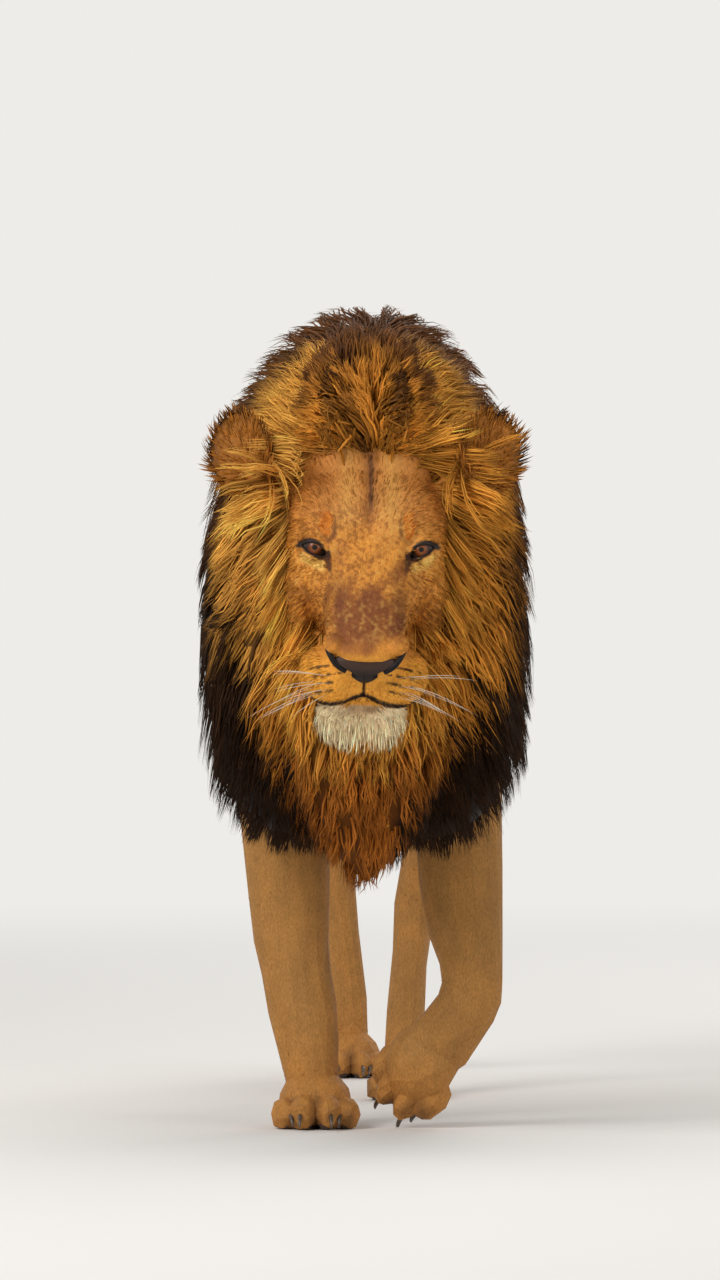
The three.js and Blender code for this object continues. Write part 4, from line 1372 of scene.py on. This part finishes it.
faceLie = bothSides([  # where, which way the short hair lies, and its length
    [0, -1130, 690, 0, 0.3, 0.95, 4],
    [0, -1085, 735, 0, 0.3, 0.95, 5],
    [30, -1070, 740, 0.35, 0.5, 0.8, 5],
    [0, -1010, 820, 0, 0.2, 1, 7],
    [25, -1000, 850, 0.25, 0.2, 0.95, 7],
    [0, -975, 915, 0, 0.1, 1, 11],
    [55, -955, 905, 0.4, 0.2, 0.9, 12],
    [0, -935, 955, 0, 0.15, 1, 18],
    [80, -930, 930, 0.7, 0.3, 0.65, 16],
    [95, -940, 860, 0.85, 0.45, 0.1, 13],
    [100, -945, 790, 0.8, 0.5, -0.4, 15],
    [55, -1025, 790, 0.55, 0.5, -0.1, 6],
    [80, -985, 765, 0.75, 0.6, -0.25, 9],
    [60, -1020, 725, 0.6, 0.75, -0.2, 8],
    [95, -935, 705, 0.6, 0.3, -0.7, 24],
    [72, -930, 725, 0.7, 0.2, -0.7, 20],
    [108, -925, 750, 0.85, 0.2, -0.5, 24],
    [112, -905, 810, 0.9, 0.2, -0.4, 26],
    [112, -890, 870, 0.9, 0.1, -0.2, 26],
    [60, -890, 955, 0.5, 0.1, 0.85, 18],
    [0, -895, 955, 0.0, 0.1, 1, 16],
    [76, -1035, 655, 0.8, 0.5, -0.35, 13],
    [80, -1010, 700, 0.75, 0.55, -0.4, 14],
    [30, -1110, 670, 0.8, 0.4, 0.1, 4],
    [60, -1085, 660, 0.8, 0.6, -0.2, 5],
    [25, -1105, 640, 0.6, 0.3, -0.5, 4.5],
    [60, -1065, 635, 0.7, 0.6, -0.4, 6],
    [0, -1085, 600, 0, -0.1, -1, 9],
    [50, -1070, 600, 0.35, 0.1, -0.95, 10],
    [90, -1000, 640, 0.5, 0.6, -0.65, 14],
])
bodyLie = bothSides([
    [0, -300, 1030, 0, 1, 0, 14],
    [0, 100, 1000, 0, 1, -0.05, 13],
    [0, 450, 1010, 0, 0.95, -0.1, 13],
    [0, 620, 940, 0, 0.7, -0.6, 12],
    [150, -100, 930, 0.2, 0.95, -0.2, 13],
    [200, -100, 760, 0, 0.93, -0.35, 13],
    [150, -100, 600, -0.1, 0.85, -0.5, 15],
    [0, -50, 520, 0, 0.9, -0.45, 20],
    [0, 250, 580, 0, 0.9, -0.4, 18],
    [195, 100, 760, 0, 0.93, -0.35, 12],
    [170, 280, 800, 0, 0.85, -0.5, 12],
    [130, 420, 850, 0, 0.6, -0.8, 12],
    [120, 330, 650, 0, 0.25, -0.97, 11],
    [100, 280, 500, 0, 0.3, -0.95, 9],
    [60, 560, 850, 0, 0.5, -0.85, 12],
    [75, 320, 300, 0, 0.15, -1, 7],
    [55, 240, 130, 0, -0.2, -1, 6],
    [30, 640, 250, 0, 0.2, -1, 7],
    [125, -450, 560, 0, 0.15, -1, 11],
    [110, -445, 380, 0, 0.1, -1, 8],
    [100, -460, 180, 0, 0.05, -1, 6],
    [80, -520, 50, 0, -0.75, -0.65, 4],
    [55, 120, 40, 0, -0.75, -0.65, 4],
    [25, 620, 45, 0, -0.75, -0.65, 4],
    [20, 700, 830, 0.1, 0.5, -0.85, 9],
    [50, 765, 640, 0.1, 0.1, -1, 8],
    [95, 850, 350, 0.05, 0.5, -0.85, 12],
    [100, -780, 850, 0.3, 0.9, -0.3, 14],
])


faceNear, bodyNear = 26, 110  # how far the guides of face and body reach, in mm


def headShare(points):
    return ramp(-points[:, 1], 800, 860) * ramp(points[:, 2], 500, 540)


def shortLie(points):
    head = headShare(points)[:, None]
    facial, rest = guided(points, faceLie, faceNear)[0], guided(points, bodyLie, bodyNear)[0]
    return unitOf(facial * head + rest * (1 - head) + 0.12 * astray(points, 60))


def shortReach(points):
    head = headShare(points)
    facial, rest = guided(points, faceLie, faceNear)[1], guided(points, bodyLie, bodyNear)[1]
    return facial * head + rest * (1 - head)


def underMane(points):  # 1 where the mane hides the skin
    y, z = points[:, 1:].T
    return ramp(y, -868, -840) * ramp(-y, 250, 300) * ramp(z, 400, 440)


def faceDensity(points):
    own = toHead(points)
    clear = ramp(-own[:, 1], -120, -60)
    for side in (-1, 1):
        u, v, w = lidSpace(points, side)
        clear = clear * (1 - (insideLids(u, v) > -3.2) * (w > 0))
    nose = (np.abs(own[:, 0]) < 46) & (own[:, 1] < -150) & (own[:, 2] < -70) & (own[:, 2] > -106)
    fine = 0.075 + 0.05 * ramp(-own[:, 1], 20, 90)
    return headShare(points) * clear * fine * np.where(nose, 0, 1) * (np.abs(points[:, 0]) < 132)


def bodyDensity(points):
    low = -points[:, 2]
    bare = (1 - headShare(points)) * (1 - underMane(points))
    return bare * (0.007 + 0.006 * ramp(low, -420, -300) + 0.010 * ramp(low, -140, -90))


def skinTone(points, rng, clump):
    return varied(markings(points), rng, clump, 0.13 + 0.1 * headShare(points), 0.05)


pieceLimit = 190000


def coatOn(name, coat):  # a whole coat, in pieces of less than 200,000 triangles
    rng = np.random.default_rng(coat["seed"])
    if "rows" in coat:  # it lies on a form of its own
        locks = formLocks(rng, coat)
        locks = only(locks, offFace(locks["curve"][:, 0], locks["curve"]))
        toneAt, along, wider = locks["curve"][:, coat["points"] // 2], locks["t"], 1.0
        patch = patchAt(locks, coat["corner"], coat["patches"], len(coat["rows"]) - 1)
    else:  # it grows from the skin
        locks = skinLocks(rng, coat)
        toneAt, along = locks["root"], locks["root"][:, 1]
        wider = (locks["length"] / locks["length"].mean()) ** 0.5
        patch = unwrapped(locks["root"])
    tone = coat["tone"](toneAt, rng, locks["clump"])
    widths = coat["width"] * wider * rng.uniform(0.7, 1.3, len(tone))
    order = np.argsort(along)
    each = 6 * (coat["points"] - 2) + 4
    share = -(-len(order) // -(-len(order) * each // pieceLimit))
    for n, start in enumerate(range(0, len(order), share)):
        some = order[start:start + share]
        piece = lockMesh(f"{name}{n + 1}", only(locks, some), widths[some], tone[some], patch[some],
                         fade=coat.get("fade", (0.55, 1.0, 1.12)))
        place(f"{name}{n + 1}", piece, coat["material"], coat["slot"], *coat["nodes"])
    print(name, len(order), "locks", len(order) * each, "triangles")


furHair = hairMaterial("short hair", 0.22, 2.0, 0.2)
shortCoats = {
    "faceFur": {"seed": 51, "density": faceDensity, "lift": (0.08, 0.22), "width": 1.4, "buried": 0.8,
                "fade": (0.88, 1.0, 1.08)},
    "bodyFur": {"seed": 52, "density": bodyDensity, "lift": (0.05, 0.15), "width": 3.2, "buried": 1.2,
                "fade": (0.94, 1.0, 1.05)},
}
for name, coat in shortCoats.items():
    coatOn(name, {**coat, "lie": shortLie, "reach": shortReach, "settle": 0.03, "points": 3, "tone": skinTone,
                  "material": furHair, "slot": "tawny_hide", "nodes": fleshNodes})


hairColours = {
    "straw": linear(240, 184, 92),
    "gold": linear(228, 160, 64),
    "deepGold": linear(192, 124, 44),
    "rust": linear(156, 90, 30),
    "brown": linear(96, 58, 26),
    "dark": linear(44, 26, 12),
}
ruffGuides = bothSides([
    [30, -925, 960, 0.35, -0.1, 0.9, 46],
    [56, -900, 962, 0.85, -0.2, 0.45, 90],
    [68, -890, 972, 0.93, -0.35, 0.25, 138],
    [82, -880, 962, 0.95, -0.4, 0.08, 140],
    [86, -900, 942, 0.86, -0.35, -0.36, 130],
    [98, -915, 925, 0.72, -0.2, -0.66, 125],
    [104, -920, 900, 0.64, -0.12, -0.76, 108],
    [110, -905, 875, 0.78, 0.0, -0.62, 72],
    [112, -905, 820, 0.74, 0.05, -0.66, 62],
    [108, -915, 760, 0.55, 0.05, -0.83, 68],
    [95, -945, 700, 0.42, 0.0, -0.9, 95],
    [85, -980, 655, 0.3, 0.0, -0.95, 85],
    [60, -1010, 600, 0.2, 0.0, -0.98, 90],
    [0, -1020, 575, 0.0, 0.0, -1, 90],
])


def hairline(ax):  # the level where the mane begins over the forehead
    return np.interp(ax, [0, 50, 64, 80, 90, 98, 106, 108], [958, 954, 947, 934, 917, 900, 870, 0])


def ruffDensity(points):
    own = toHead(points)
    ax = np.abs(points[:, 0])
    side = ramp(ax, 102, 114) * ramp(own[:, 1], -40, 0)
    jaw = ramp(ax, 56, 70) * ramp(-own[:, 2], 84, 110) * ramp(own[:, 1], -92, -66)
    under = ramp(-faceHeight(own), 205, 225) * ramp(own[:, 1], -100, -70)
    corner = ramp(ax, 50, 66) * ramp(points[:, 2], 930, 950)
    top = ramp(points[:, 2] - hairline(ax), -6, 8) * (1 + 1.2 * corner)
    band = np.maximum(np.maximum(side, jaw), np.maximum(under, top)) * ramp(-own[:, 1], -150, -110)
    return 0.0085 * band * ramp(-points[:, 1], 850, 880) * ramp(points[:, 2], 540, 570) * (ax < 130)


def ruffTone(points, rng, clump):
    x, z = points[:, 0], points[:, 2]
    # deeper gold toward +x as painted shade on that side; paler straw toward -x and up as painted light
    light = mixed(hairColours["gold"][None], hairColours["deepGold"], 0.6 * ramp(x, -60, 130))
    light = mixed(light, hairColours["straw"], 0.45 * ramp(-x, -20, 60) * ramp(z, 760, 840))
    return varied(light, rng, clump, 0.15, 0.2)


ruff = {"seed": 61, "density": ruffDensity, "perClump": 9, "spread": 5, "lift": (0.25, 0.6), "settle": 0.12,
        "loose": 0.6, "pull": (0.3, 0.75), "wave": (4, 70, 1.5), "width": 3.0, "points": 5, "buried": 2.0,
        **byGuides(ruffGuides, 45, 0.12), "tone": ruffTone, "fade": (0.7, 1.0, 1.2),
        "material": maneHair, "slot": "gold_mane", "nodes": fleshNodes}
coatOn("ruff", ruff)


def fromEar(points):  # how far from the middle of the nearer ear
    return points - np.where(points[:, :1] > 0, ear["at"], np.array([-1, 1, 1]) * ear["at"])


def earLie(points):  # away from the ear's root
    root = np.where(points[:, :1] > 0, [138.0, -858, 915], [-138.0, -858, 915])
    return unitOf((points - root) * [1, 0.3, 1] + [0, -8, 0])


def earReach(points):
    own = fromEar(points)
    out = np.sqrt((own[:, 0] / ear["radii"][0]) ** 2 + (own[:, 2] / ear["radii"][2]) ** 2)
    return 15 + 11 * ramp(out, 0.5, 0.95)


def earDensity(points):
    near = ramp(-np.linalg.norm(fromEar(points) / [1, 0.7, 1], axis=1), -74, -66)
    return 0.06 * near * (np.abs(points[:, 0]) > 118)


ears = {"seed": 71, "density": earDensity, "lift": (0.2, 0.7), "settle": 0.12, "width": 2.0, "points": 4,
        "buried": 1.0, "lie": earLie, "reach": earReach, "tone": skinTone, "fade": (0.8, 1.0, 1.12),
        "material": furHair, "slot": "ear_hide", "nodes": ["ear_left", "ear_right"]}
coatOn("earFur", ears)


def chinDensity(points):
    own = toHead(points)
    height = faceHeight(own)
    band = ramp(-height, 216, 222) * ramp(height, -268, -260) * ramp(-own[:, 1], 50, 80)
    return 0.05 * band * (np.abs(own[:, 0]) < 66)


chinGuides = bothSides([[0, -1080, 600, 0, -0.15, -1, 24], [55, -1060, 600, 0.35, -0.05, -0.95, 22]])
chin = {"seed": 72, "density": chinDensity, "lift": (0.3, 0.7), "settle": 0.05, "loose": 0.5, "width": 2.0,
        "points": 4, "buried": 1.0, **byGuides(chinGuides, 60, 0.25), "tone": skinTone,
        "fade": (0.8, 1.0, 1.12), "material": furHair, "slot": "jaw_hide", "nodes": ["lower_jaw"]}
coatOn("chinTuft", chin)


def keelDensity(points):  # along the keel of the belly
    ax = np.abs(points[:, 0])
    keel = ramp(-ax, -70, -40) * ramp(-points[:, 2], -546, -530) * ramp(points[:, 2], 480, 500)
    return 0.0042 * keel * ramp(points[:, 1], -430, -380) * ramp(-points[:, 1], -250, -120)


def darkTone(points, rng, clump):
    return hairColours["dark"] * np.exp(rng.normal(0, 0.2, len(points)))[:, None]


keelGuides = bothSides([
    [0, -350, 520, 0, 0.3, -0.95, 95],
    [0, -100, 520, 0, 0.45, -0.9, 75],
    [0, 150, 530, 0, 0.6, -0.8, 42],
])
keel = {"seed": 73, "density": keelDensity, "perClump": 7, "spread": 6, "lift": (0.5, 1.2), "settle": 0.3,
        "loose": 0.9, "pull": (0.3, 0.7), "wave": (4, 70, 1.5), "width": 4.4, "points": 5, "buried": 2.0,
        **byGuides(keelGuides, 90, 0.16), "tone": darkTone, "fade": (0.8, 1.0, 1.12),
        "material": maneHair, "slot": "dark_mane", "nodes": ["mane_belly"]}
coatOn("bellyHair", keel)


whiskerLook = {"rows": 4, "each": 3, "length": (50, 100), "width": 0.9, "tint": linear(222, 210, 190)}


# The point at s along a whisker: root + length * (way * s + fall * s^2)
def makeWhiskers():
    rng = np.random.default_rng(81)
    own = toHead(skinPoints)
    height = faceHeight(own)
    roots, ways, lengths = [], [], []
    for side in (-1, 1):
        for row in range(whiskerLook["rows"]):
            for n in range(whiskerLook["each"]):
                x, level = 42 + 11 * n + 2 * row, -170 - 8 * row + rng.normal(0, 1)
                off = (own[:, 0] - side * x) ** 2 + (height - level) ** 2 + 1e4 * (own[:, 1] > -90)
                nearest = int(np.argmin(off))
                roots.append(skinPoints[nearest] - skinNormals[nearest] * 1.5)
                ways.append([side * 0.9, -0.3 + 0.08 * n, 0.12 - 0.16 * row + rng.normal(0, 0.1)])
                lengths.append(rng.uniform(*whiskerLook["length"]))
    roots, ways, lengths = np.array(roots), unitOf(np.array(ways)), np.array(lengths)
    s = np.linspace(0, 1, 8)[None, :, None]
    fall = np.array([0, 0.35, -0.3]) * s ** 2
    curve = roots[:, None] + (ways[:, None] * s + 0.55 * fall) * lengths[:, None, None]
    outward = np.broadcast_to(np.array([0, -0.3, 0.95]), curve.shape)
    locks = {"curve": curve, "outward": outward, "length": lengths}
    tint = np.tile(whiskerLook["tint"], (len(roots), 1))
    mesh = lockMesh("whiskers", locks, np.full(len(roots), whiskerLook["width"]), tint, unwrapped(roots), 0.8)
    place("whiskers", mesh, furHair, "jaw_hide")
    print("whiskers", len(roots))


makeWhiskers()


maneRows = filled([
    [0, -898, 700, 116, 105, 240],
    [0, -874, 700, 176, 190, 296, 2.8, 2.3],
    [0, -838, 700, 212, 262, 350, 3.4, 2.4],
    [0, -780, 700, 226, 306, 394, 4, 2.4],
    [0, -710, 700, 233, 324, 426, 4, 2.4],
    [0, -620, 700, 235, 326, 444, 4, 2.4],
    [0, -520, 700, 234, 312, 450, 3.6, 2.4],
    [0, -420, 702, 230, 284, 438, 3, 2.4],
    [0, -320, 710, 223, 255, 392, 2.6, 2.3],
    [0, -235, 720, 214, 232, 332],
    [0, -170, 730, 198, 218, 268],
])
beardRows = filled([
    [0, -922, 640, 105, 35, 80],
    [0, -935, 590, 112, 42, 100],
    [0, -926, 520, 106, 48, 110],
    [0, -898, 450, 92, 48, 110],
    [0, -852, 395, 66, 40, 90],
    [0, -820, 358, 28, 22, 40],
])
crestRows = filled([
    [0, -888, 925, 96, 22, 40],
    [0, -878, 975, 110, 28, 60],
    [0, -842, 1030, 104, 32, 70],
    [0, -792, 1076, 80, 30, 60],
    [0, -748, 1106, 40, 18, 30],
])
fringeRows = filled([
    [0, -420, 470, 100, 60, 60],
    [0, -280, 470, 90, 52, 60],
    [0, -120, 478, 74, 40, 60],
    [0, 30, 492, 52, 26, 55],
    [0, 130, 512, 26, 12, 40],
])
maneGuides = bothSides([  # place, the way the hair lies there, and its length; the left side
    [0, -930, 560, 0, -0.05, -1, 130],
    [0, -880, 430, 0, 0.1, -1, 170],
    [110, -885, 640, 0.4, 0.1, -0.92, 120],
    [165, -870, 760, 0.62, 0.2, -0.75, 115],
    [185, -850, 860, 0.7, 0.35, -0.6, 110],
    [150, -850, 560, 0.25, 0.15, -0.95, 150],
    [110, -850, 430, 0.08, 0.1, -1, 170],
    [215, -760, 640, 0.18, 0.35, -0.92, 170],
    [215, -760, 480, 0.05, 0.2, -0.98, 170],
    [225, -740, 820, 0.25, 0.6, -0.75, 160],
    [180, -780, 980, 0.75, 0.5, -0.35, 130],
    [60, -840, 960, 0.5, 0.3, 0.8, 90],
    [0, -850, 980, 0.0, 0.35, 0.95, 90],
    [110, -780, 1060, 0.7, 0.6, 0.25, 120],
    [0, -740, 1130, 0.1, 0.98, 0.2, 130],
    [120, -620, 1090, 0.55, 0.8, -0.2, 150],
    [225, -600, 900, 0.15, 0.65, -0.75, 180],
    [235, -580, 700, 0.05, 0.5, -0.86, 190],
    [230, -560, 480, 0, 0.3, -0.95, 180],
    [0, -520, 1150, 0, 1, -0.05, 150],
    [130, -420, 1090, 0.35, 0.9, -0.3, 160],
    [228, -400, 820, 0.05, 0.72, -0.7, 180],
    [225, -380, 600, 0, 0.55, -0.84, 180],
    [180, -380, 430, 0, 0.45, -0.9, 150],
    [0, -300, 1080, 0, 1, -0.15, 140],
    [120, -260, 1020, 0.2, 0.92, -0.35, 130],
    [205, -220, 800, 0.02, 0.86, -0.5, 140],
    [190, -240, 580, 0, 0.75, -0.66, 140],
    [60, -300, 430, 0, 0.6, -0.8, 120],
])
crestGuides = np.array([  # on the front the hair parts in the middle and sweeps out over the ears
    [0, -900, 950, 0, -0.1, 1, 70],
    [-22, -900, 990, -0.6, -0.15, 0.8, 90],
    [-60, -890, 1000, -0.85, -0.1, 0.5, 105],
    [-90, -885, 983, -1, -0.3, 0.1, 118],
    [-95, -885, 950, -0.92, -0.35, -0.35, 118],
    [-70, -860, 1050, -0.65, 0.2, 0.7, 90],
    [-20, -850, 1060, -0.2, 0.4, 0.9, 85],
    [35, -900, 985, 0.6, -0.15, 0.8, 85],
    [80, -890, 1010, 0.95, -0.2, 0.1, 110],
    [100, -885, 980, 0.9, -0.3, -0.4, 120],
    [95, -890, 955, 0.72, -0.3, -0.65, 120],
    [60, -860, 1050, 0.7, 0.3, 0.6, 90],
    [20, -830, 1085, 0.3, 0.6, 0.75, 80],
    [0, -760, 1110, 0, 0.9, 0.3, 80],
], float)
fringeGuides = bothSides([
    [0, -350, 430, 0, 0.35, -0.93, 90],
    [80, -350, 450, 0.1, 0.35, -0.93, 85],
    [0, -100, 480, 0, 0.45, -0.85, 70],
    [0, 100, 500, 0, 0.7, -0.7, 40],
])


def offFace(roots, curve):  # left out: hair under the hairline, over the face, or past the ragged end
    x, y, z = np.abs(roots[:, 0]), roots[:, 1], roots[:, 2]
    under = (x < 122) & (y < -835) & (z > 840) & (z < hairline(x))
    x, y, z = np.abs(curve[..., 0]), curve[..., 1], curve[..., 2]
    low = ramp(-z, -700, -680)
    through = ((x < 112 - 14 * low) & (y < -905 - 15 * low) & (z > 640) & (z < hairline(x) - 6)).any(1)
    y, z = roots[:, 1:].T
    ragged = y > -300 + 150 * (0.5 + 0.5 * ripple(roots, 130, 2)) + 40 * ripple(roots, 40, 5)
    return ~(under | through | (ragged & (y < -100) & (z > 560)))


def maneColour(points, rng, clump):  # gold round the face and down the beard, dark below and behind
    x, y, z = points.T
    stray = ripple(points, 150, 0) * 0.10 + rng.normal(0, 0.05, len(points))
    wide = np.interp(z, [350, 440, 505, 585, 645, 710, 790, 900], [36, 50, 84, 118, 154, 196, 224, 232])
    off = np.abs(x + 10 * ramp(-z, -600, -500)) / wide + stray
    gold = layered(
        hairColours["gold"][None],
        (hairColours["deepGold"], ramp(off, 0.4, 0.9)),
        # straw-pale toward -x: painted light on that side
        (hairColours["straw"], 0.3 * ramp(-x, 20, 160) * ramp(z, 600, 680)),
        (hairColours["rust"], ramp(-z + 200 * stray, -640, -500)),
    )
    rest = mixed(hairColours["dark"][None], hairColours["brown"], ramp(z + 60 * stray, 760, 980))
    colour = mixed(rest, gold, (1 - ramp(off, 0.86, 1.06)) * (1 - ramp(y, -815, -700)))
    return varied(colour, rng, clump, 0.16, 0.16)


def maneDensity(points):  # thickest on the front, and where the crown and the breast turn to the sides
    x, y, z = points.T
    crown = ramp(z, 930, 1000) * ramp(-y, 640, 740) * ramp(np.abs(x), 40, 80)
    breast = ramp(-z, -620, -540) * ramp(-y, 760, 840) * ramp(np.abs(x), 50, 90)
    return 1 + 2.2 * ramp(-y, 760, 860) + 3.4 * crown + 2.4 * breast


def underForm(name, coat, rows, rng, sides=48, grow=0.0):  # the form that the locks lie over, painted dark as the shade between them
    points, quads, triangles = tubeMesh(rows, sides, 5, grow)
    mesh = meshFrom(name + "Under", points, quads, triangles)
    tone = coat["tone"](points, rng, np.zeros(len(points), int))
    paint(mesh, "tint", tone * underShade)
    place(name + "Under", mesh, coat["material"], coat["slot"], *coat["nodes"])


# how much darker the under forms are painted: the shade between the locks
underShade = 0.32
mane = {"rows": maneRows, "density": maneDensity, **byGuides(maneGuides, 75, 0.16, 170), "sink": 0.14,
        "span": (-0.35, 10.4), "corner": (0.01, 0.01), "patches": (0.47, 0.47), "tone": maneColour,
        "material": maneHair, "slot": "dark_mane",
        "nodes": ["mane_left", "mane_right", "mane_breast", "mane_withers"]}
maneCoats = {
    "maneWide": {"seed": 31, "clumps": 720, "perClump": 9, "spread": 15, "depth": (10, 34),
                 "pull": (0.35, 0.7), "wave": (5, 95, 1.5), "width": 10.0, "points": 5},
    "maneOver": {"seed": 32, "clumps": 1280, "perClump": 13, "spread": 11, "depth": (0, 22),
                 "pull": (0.45, 0.85), "wave": (6, 90, 2.0), "width": 5.4, "points": 6},
    "maneFine": {"seed": 33, "clumps": 950, "perClump": 8, "spread": 13, "depth": (-5, 12),
                 "pull": (0.4, 0.8), "wave": (6, 80, 2.5), "width": 2.8, "points": 5},
}
maneSink = np.interp(maneRows[:, 1], [-900, -800, -520, -420, -300, -170], [48, 38, 34, 44, 90, 110])
sunken = maneRows - maneSink[:, None] * [0, 0, 0, 1, 1, 1, 0, 0]
underForm("mane", mane, sunken, np.random.default_rng(30), 96)
for name, coat in maneCoats.items():
    coatOn(name, {**mane, **coat})


beardGuides = bothSides([
    [0, -960, 640, 0, -0.15, -1, 110],
    [0, -960, 520, 0, -0.05, -1, 150],
    [0, -910, 400, 0, 0.1, -1, 130],
    [80, -900, 600, 0.25, -0.05, -0.95, 120],
    [70, -880, 440, 0.1, 0.1, -1, 130],
])
tuftRows = filled([
    [91, 832, 368, 15, 15, 15],
    [96, 862, 325, 28, 28, 28],
    [100, 905, 292, 36, 34, 34],
    [103, 955, 275, 32, 28, 28],
    [105, 1005, 272, 15, 12, 12],
    [106, 1028, 273, 4, 4, 4],
])
tuftGuides = np.array([
    [96, 860, 330, 0.05, 0.8, -0.6, 80],
    [100, 910, 290, 0.05, 0.96, -0.25, 90],
    [105, 1000, 272, 0.03, 1, 0.02, 60],
], float)


def crestTone(points, rng, clump):
    front = ramp(-points[:, 1], 840, 895)
    parting = np.exp(-((points[:, 0] + 14) / 15) ** 2) * ramp(-points[:, 2], -1060, -1010)
    brown = hairColours["brown"]
    return varied(layered(brown[None], (hairColours["deepGold"], front), (0.8 * brown, parting * 0.75)),
                  rng, clump, 0.18, 0.22)


def fringeTone(points, rng, clump):  # browner toward its hind end
    hind = 0.6 * ramp(points[:, 1], -250, 120)
    return varied(mixed(hairColours["dark"][None], hairColours["rust"], hind), rng, clump, 0.2, 0.15)


def crestDensity(points):  # thickest over the forehead and along its sides, thin at the back
    x, y, z = points.T
    front = -y - np.interp(z, crestRows[:, 2], -crestRows[:, 1])
    return (0.4 + ramp(front, -16, 4)) * (1 + 1.6 * ramp(-z, -1040, -990) + 2.0 * ramp(np.abs(x), 55, 80))


# "back" moves the top of the form under the locks, and "under" says how many of its rows it has.
smallForms = {"points": 6, "pull": (0.4, 0.85), "patches": (0.2, 0.22), "material": maneHair, "back": 0,
              "under": None}
otherCoats = {
    "beard": {
        "seed": 41, "rows": beardRows, "clumps": 330, "perClump": 12, "spread": 10, "depth": (-2, 18),
        "wave": (6, 85, 2.0), "width": 5.0, "sink": 0.12, **byGuides(beardGuides, 60, 0.14),
        "span": (0.0, 5.4), "inset": 30, "corner": (0.51, 0.01), "tone": maneColour, "slot": "gold_mane",
        "nodes": ["mane_beard"],
    },
    "crest": {
        "seed": 42, "rows": crestRows, "clumps": 600, "perClump": 11, "spread": 9, "depth": (-2, 16),
        "wave": (5, 75, 2.0), "width": 4.6, "sink": 0.16, **byGuides(crestGuides, 40, 0.16),
        "density": crestDensity, "span": (0.0, 4.3), "inset": 24, "back": 26, "under": 4,
        "corner": (0.51, 0.26), "tone": crestTone, "slot": "brown_mane", "nodes": ["mane_crest"],
    },
    "fringe": {
        "seed": 43, "rows": fringeRows, "clumps": 400, "perClump": 9, "spread": 12, "depth": (-2, 26),
        "wave": (5, 80, 2.0), "width": 5.6, "points": 5, "sink": 0.14, **byGuides(fringeGuides, 80, 0.14),
        "span": (0.0, 3.9), "inset": 34, "corner": (0.51, 0.51), "tone": fringeTone, "slot": "dark_mane",
        "nodes": ["mane_belly"],
    },
    "tuft": {
        "seed": 44, "rows": tuftRows, "clumps": 90, "perClump": 10, "spread": 7, "depth": (-1, 8),
        "pull": (0.3, 0.7), "wave": (3, 70, 1.5), "width": 3.4, "sink": 0.1, **byGuides(tuftGuides, 60, 0.1),
        "span": (0.0, 4.6), "inset": 10, "under": 5, "corner": (0.51, 0.76), "tone": darkTone,
        "slot": "dark_mane", "nodes": ["tail_tuft"],
    },
}
for name, coat in otherCoats.items():
    coat = {**smallForms, **coat}
    rows = coat["rows"][:coat["under"]].copy()
    rows[:, 1] += np.interp(rows[:, 2], [975, 1100], [coat["back"], 0])
    underForm(name, coat, rows, np.random.default_rng(coat["seed"]), grow=-coat["inset"])
    coatOn(name, coat)
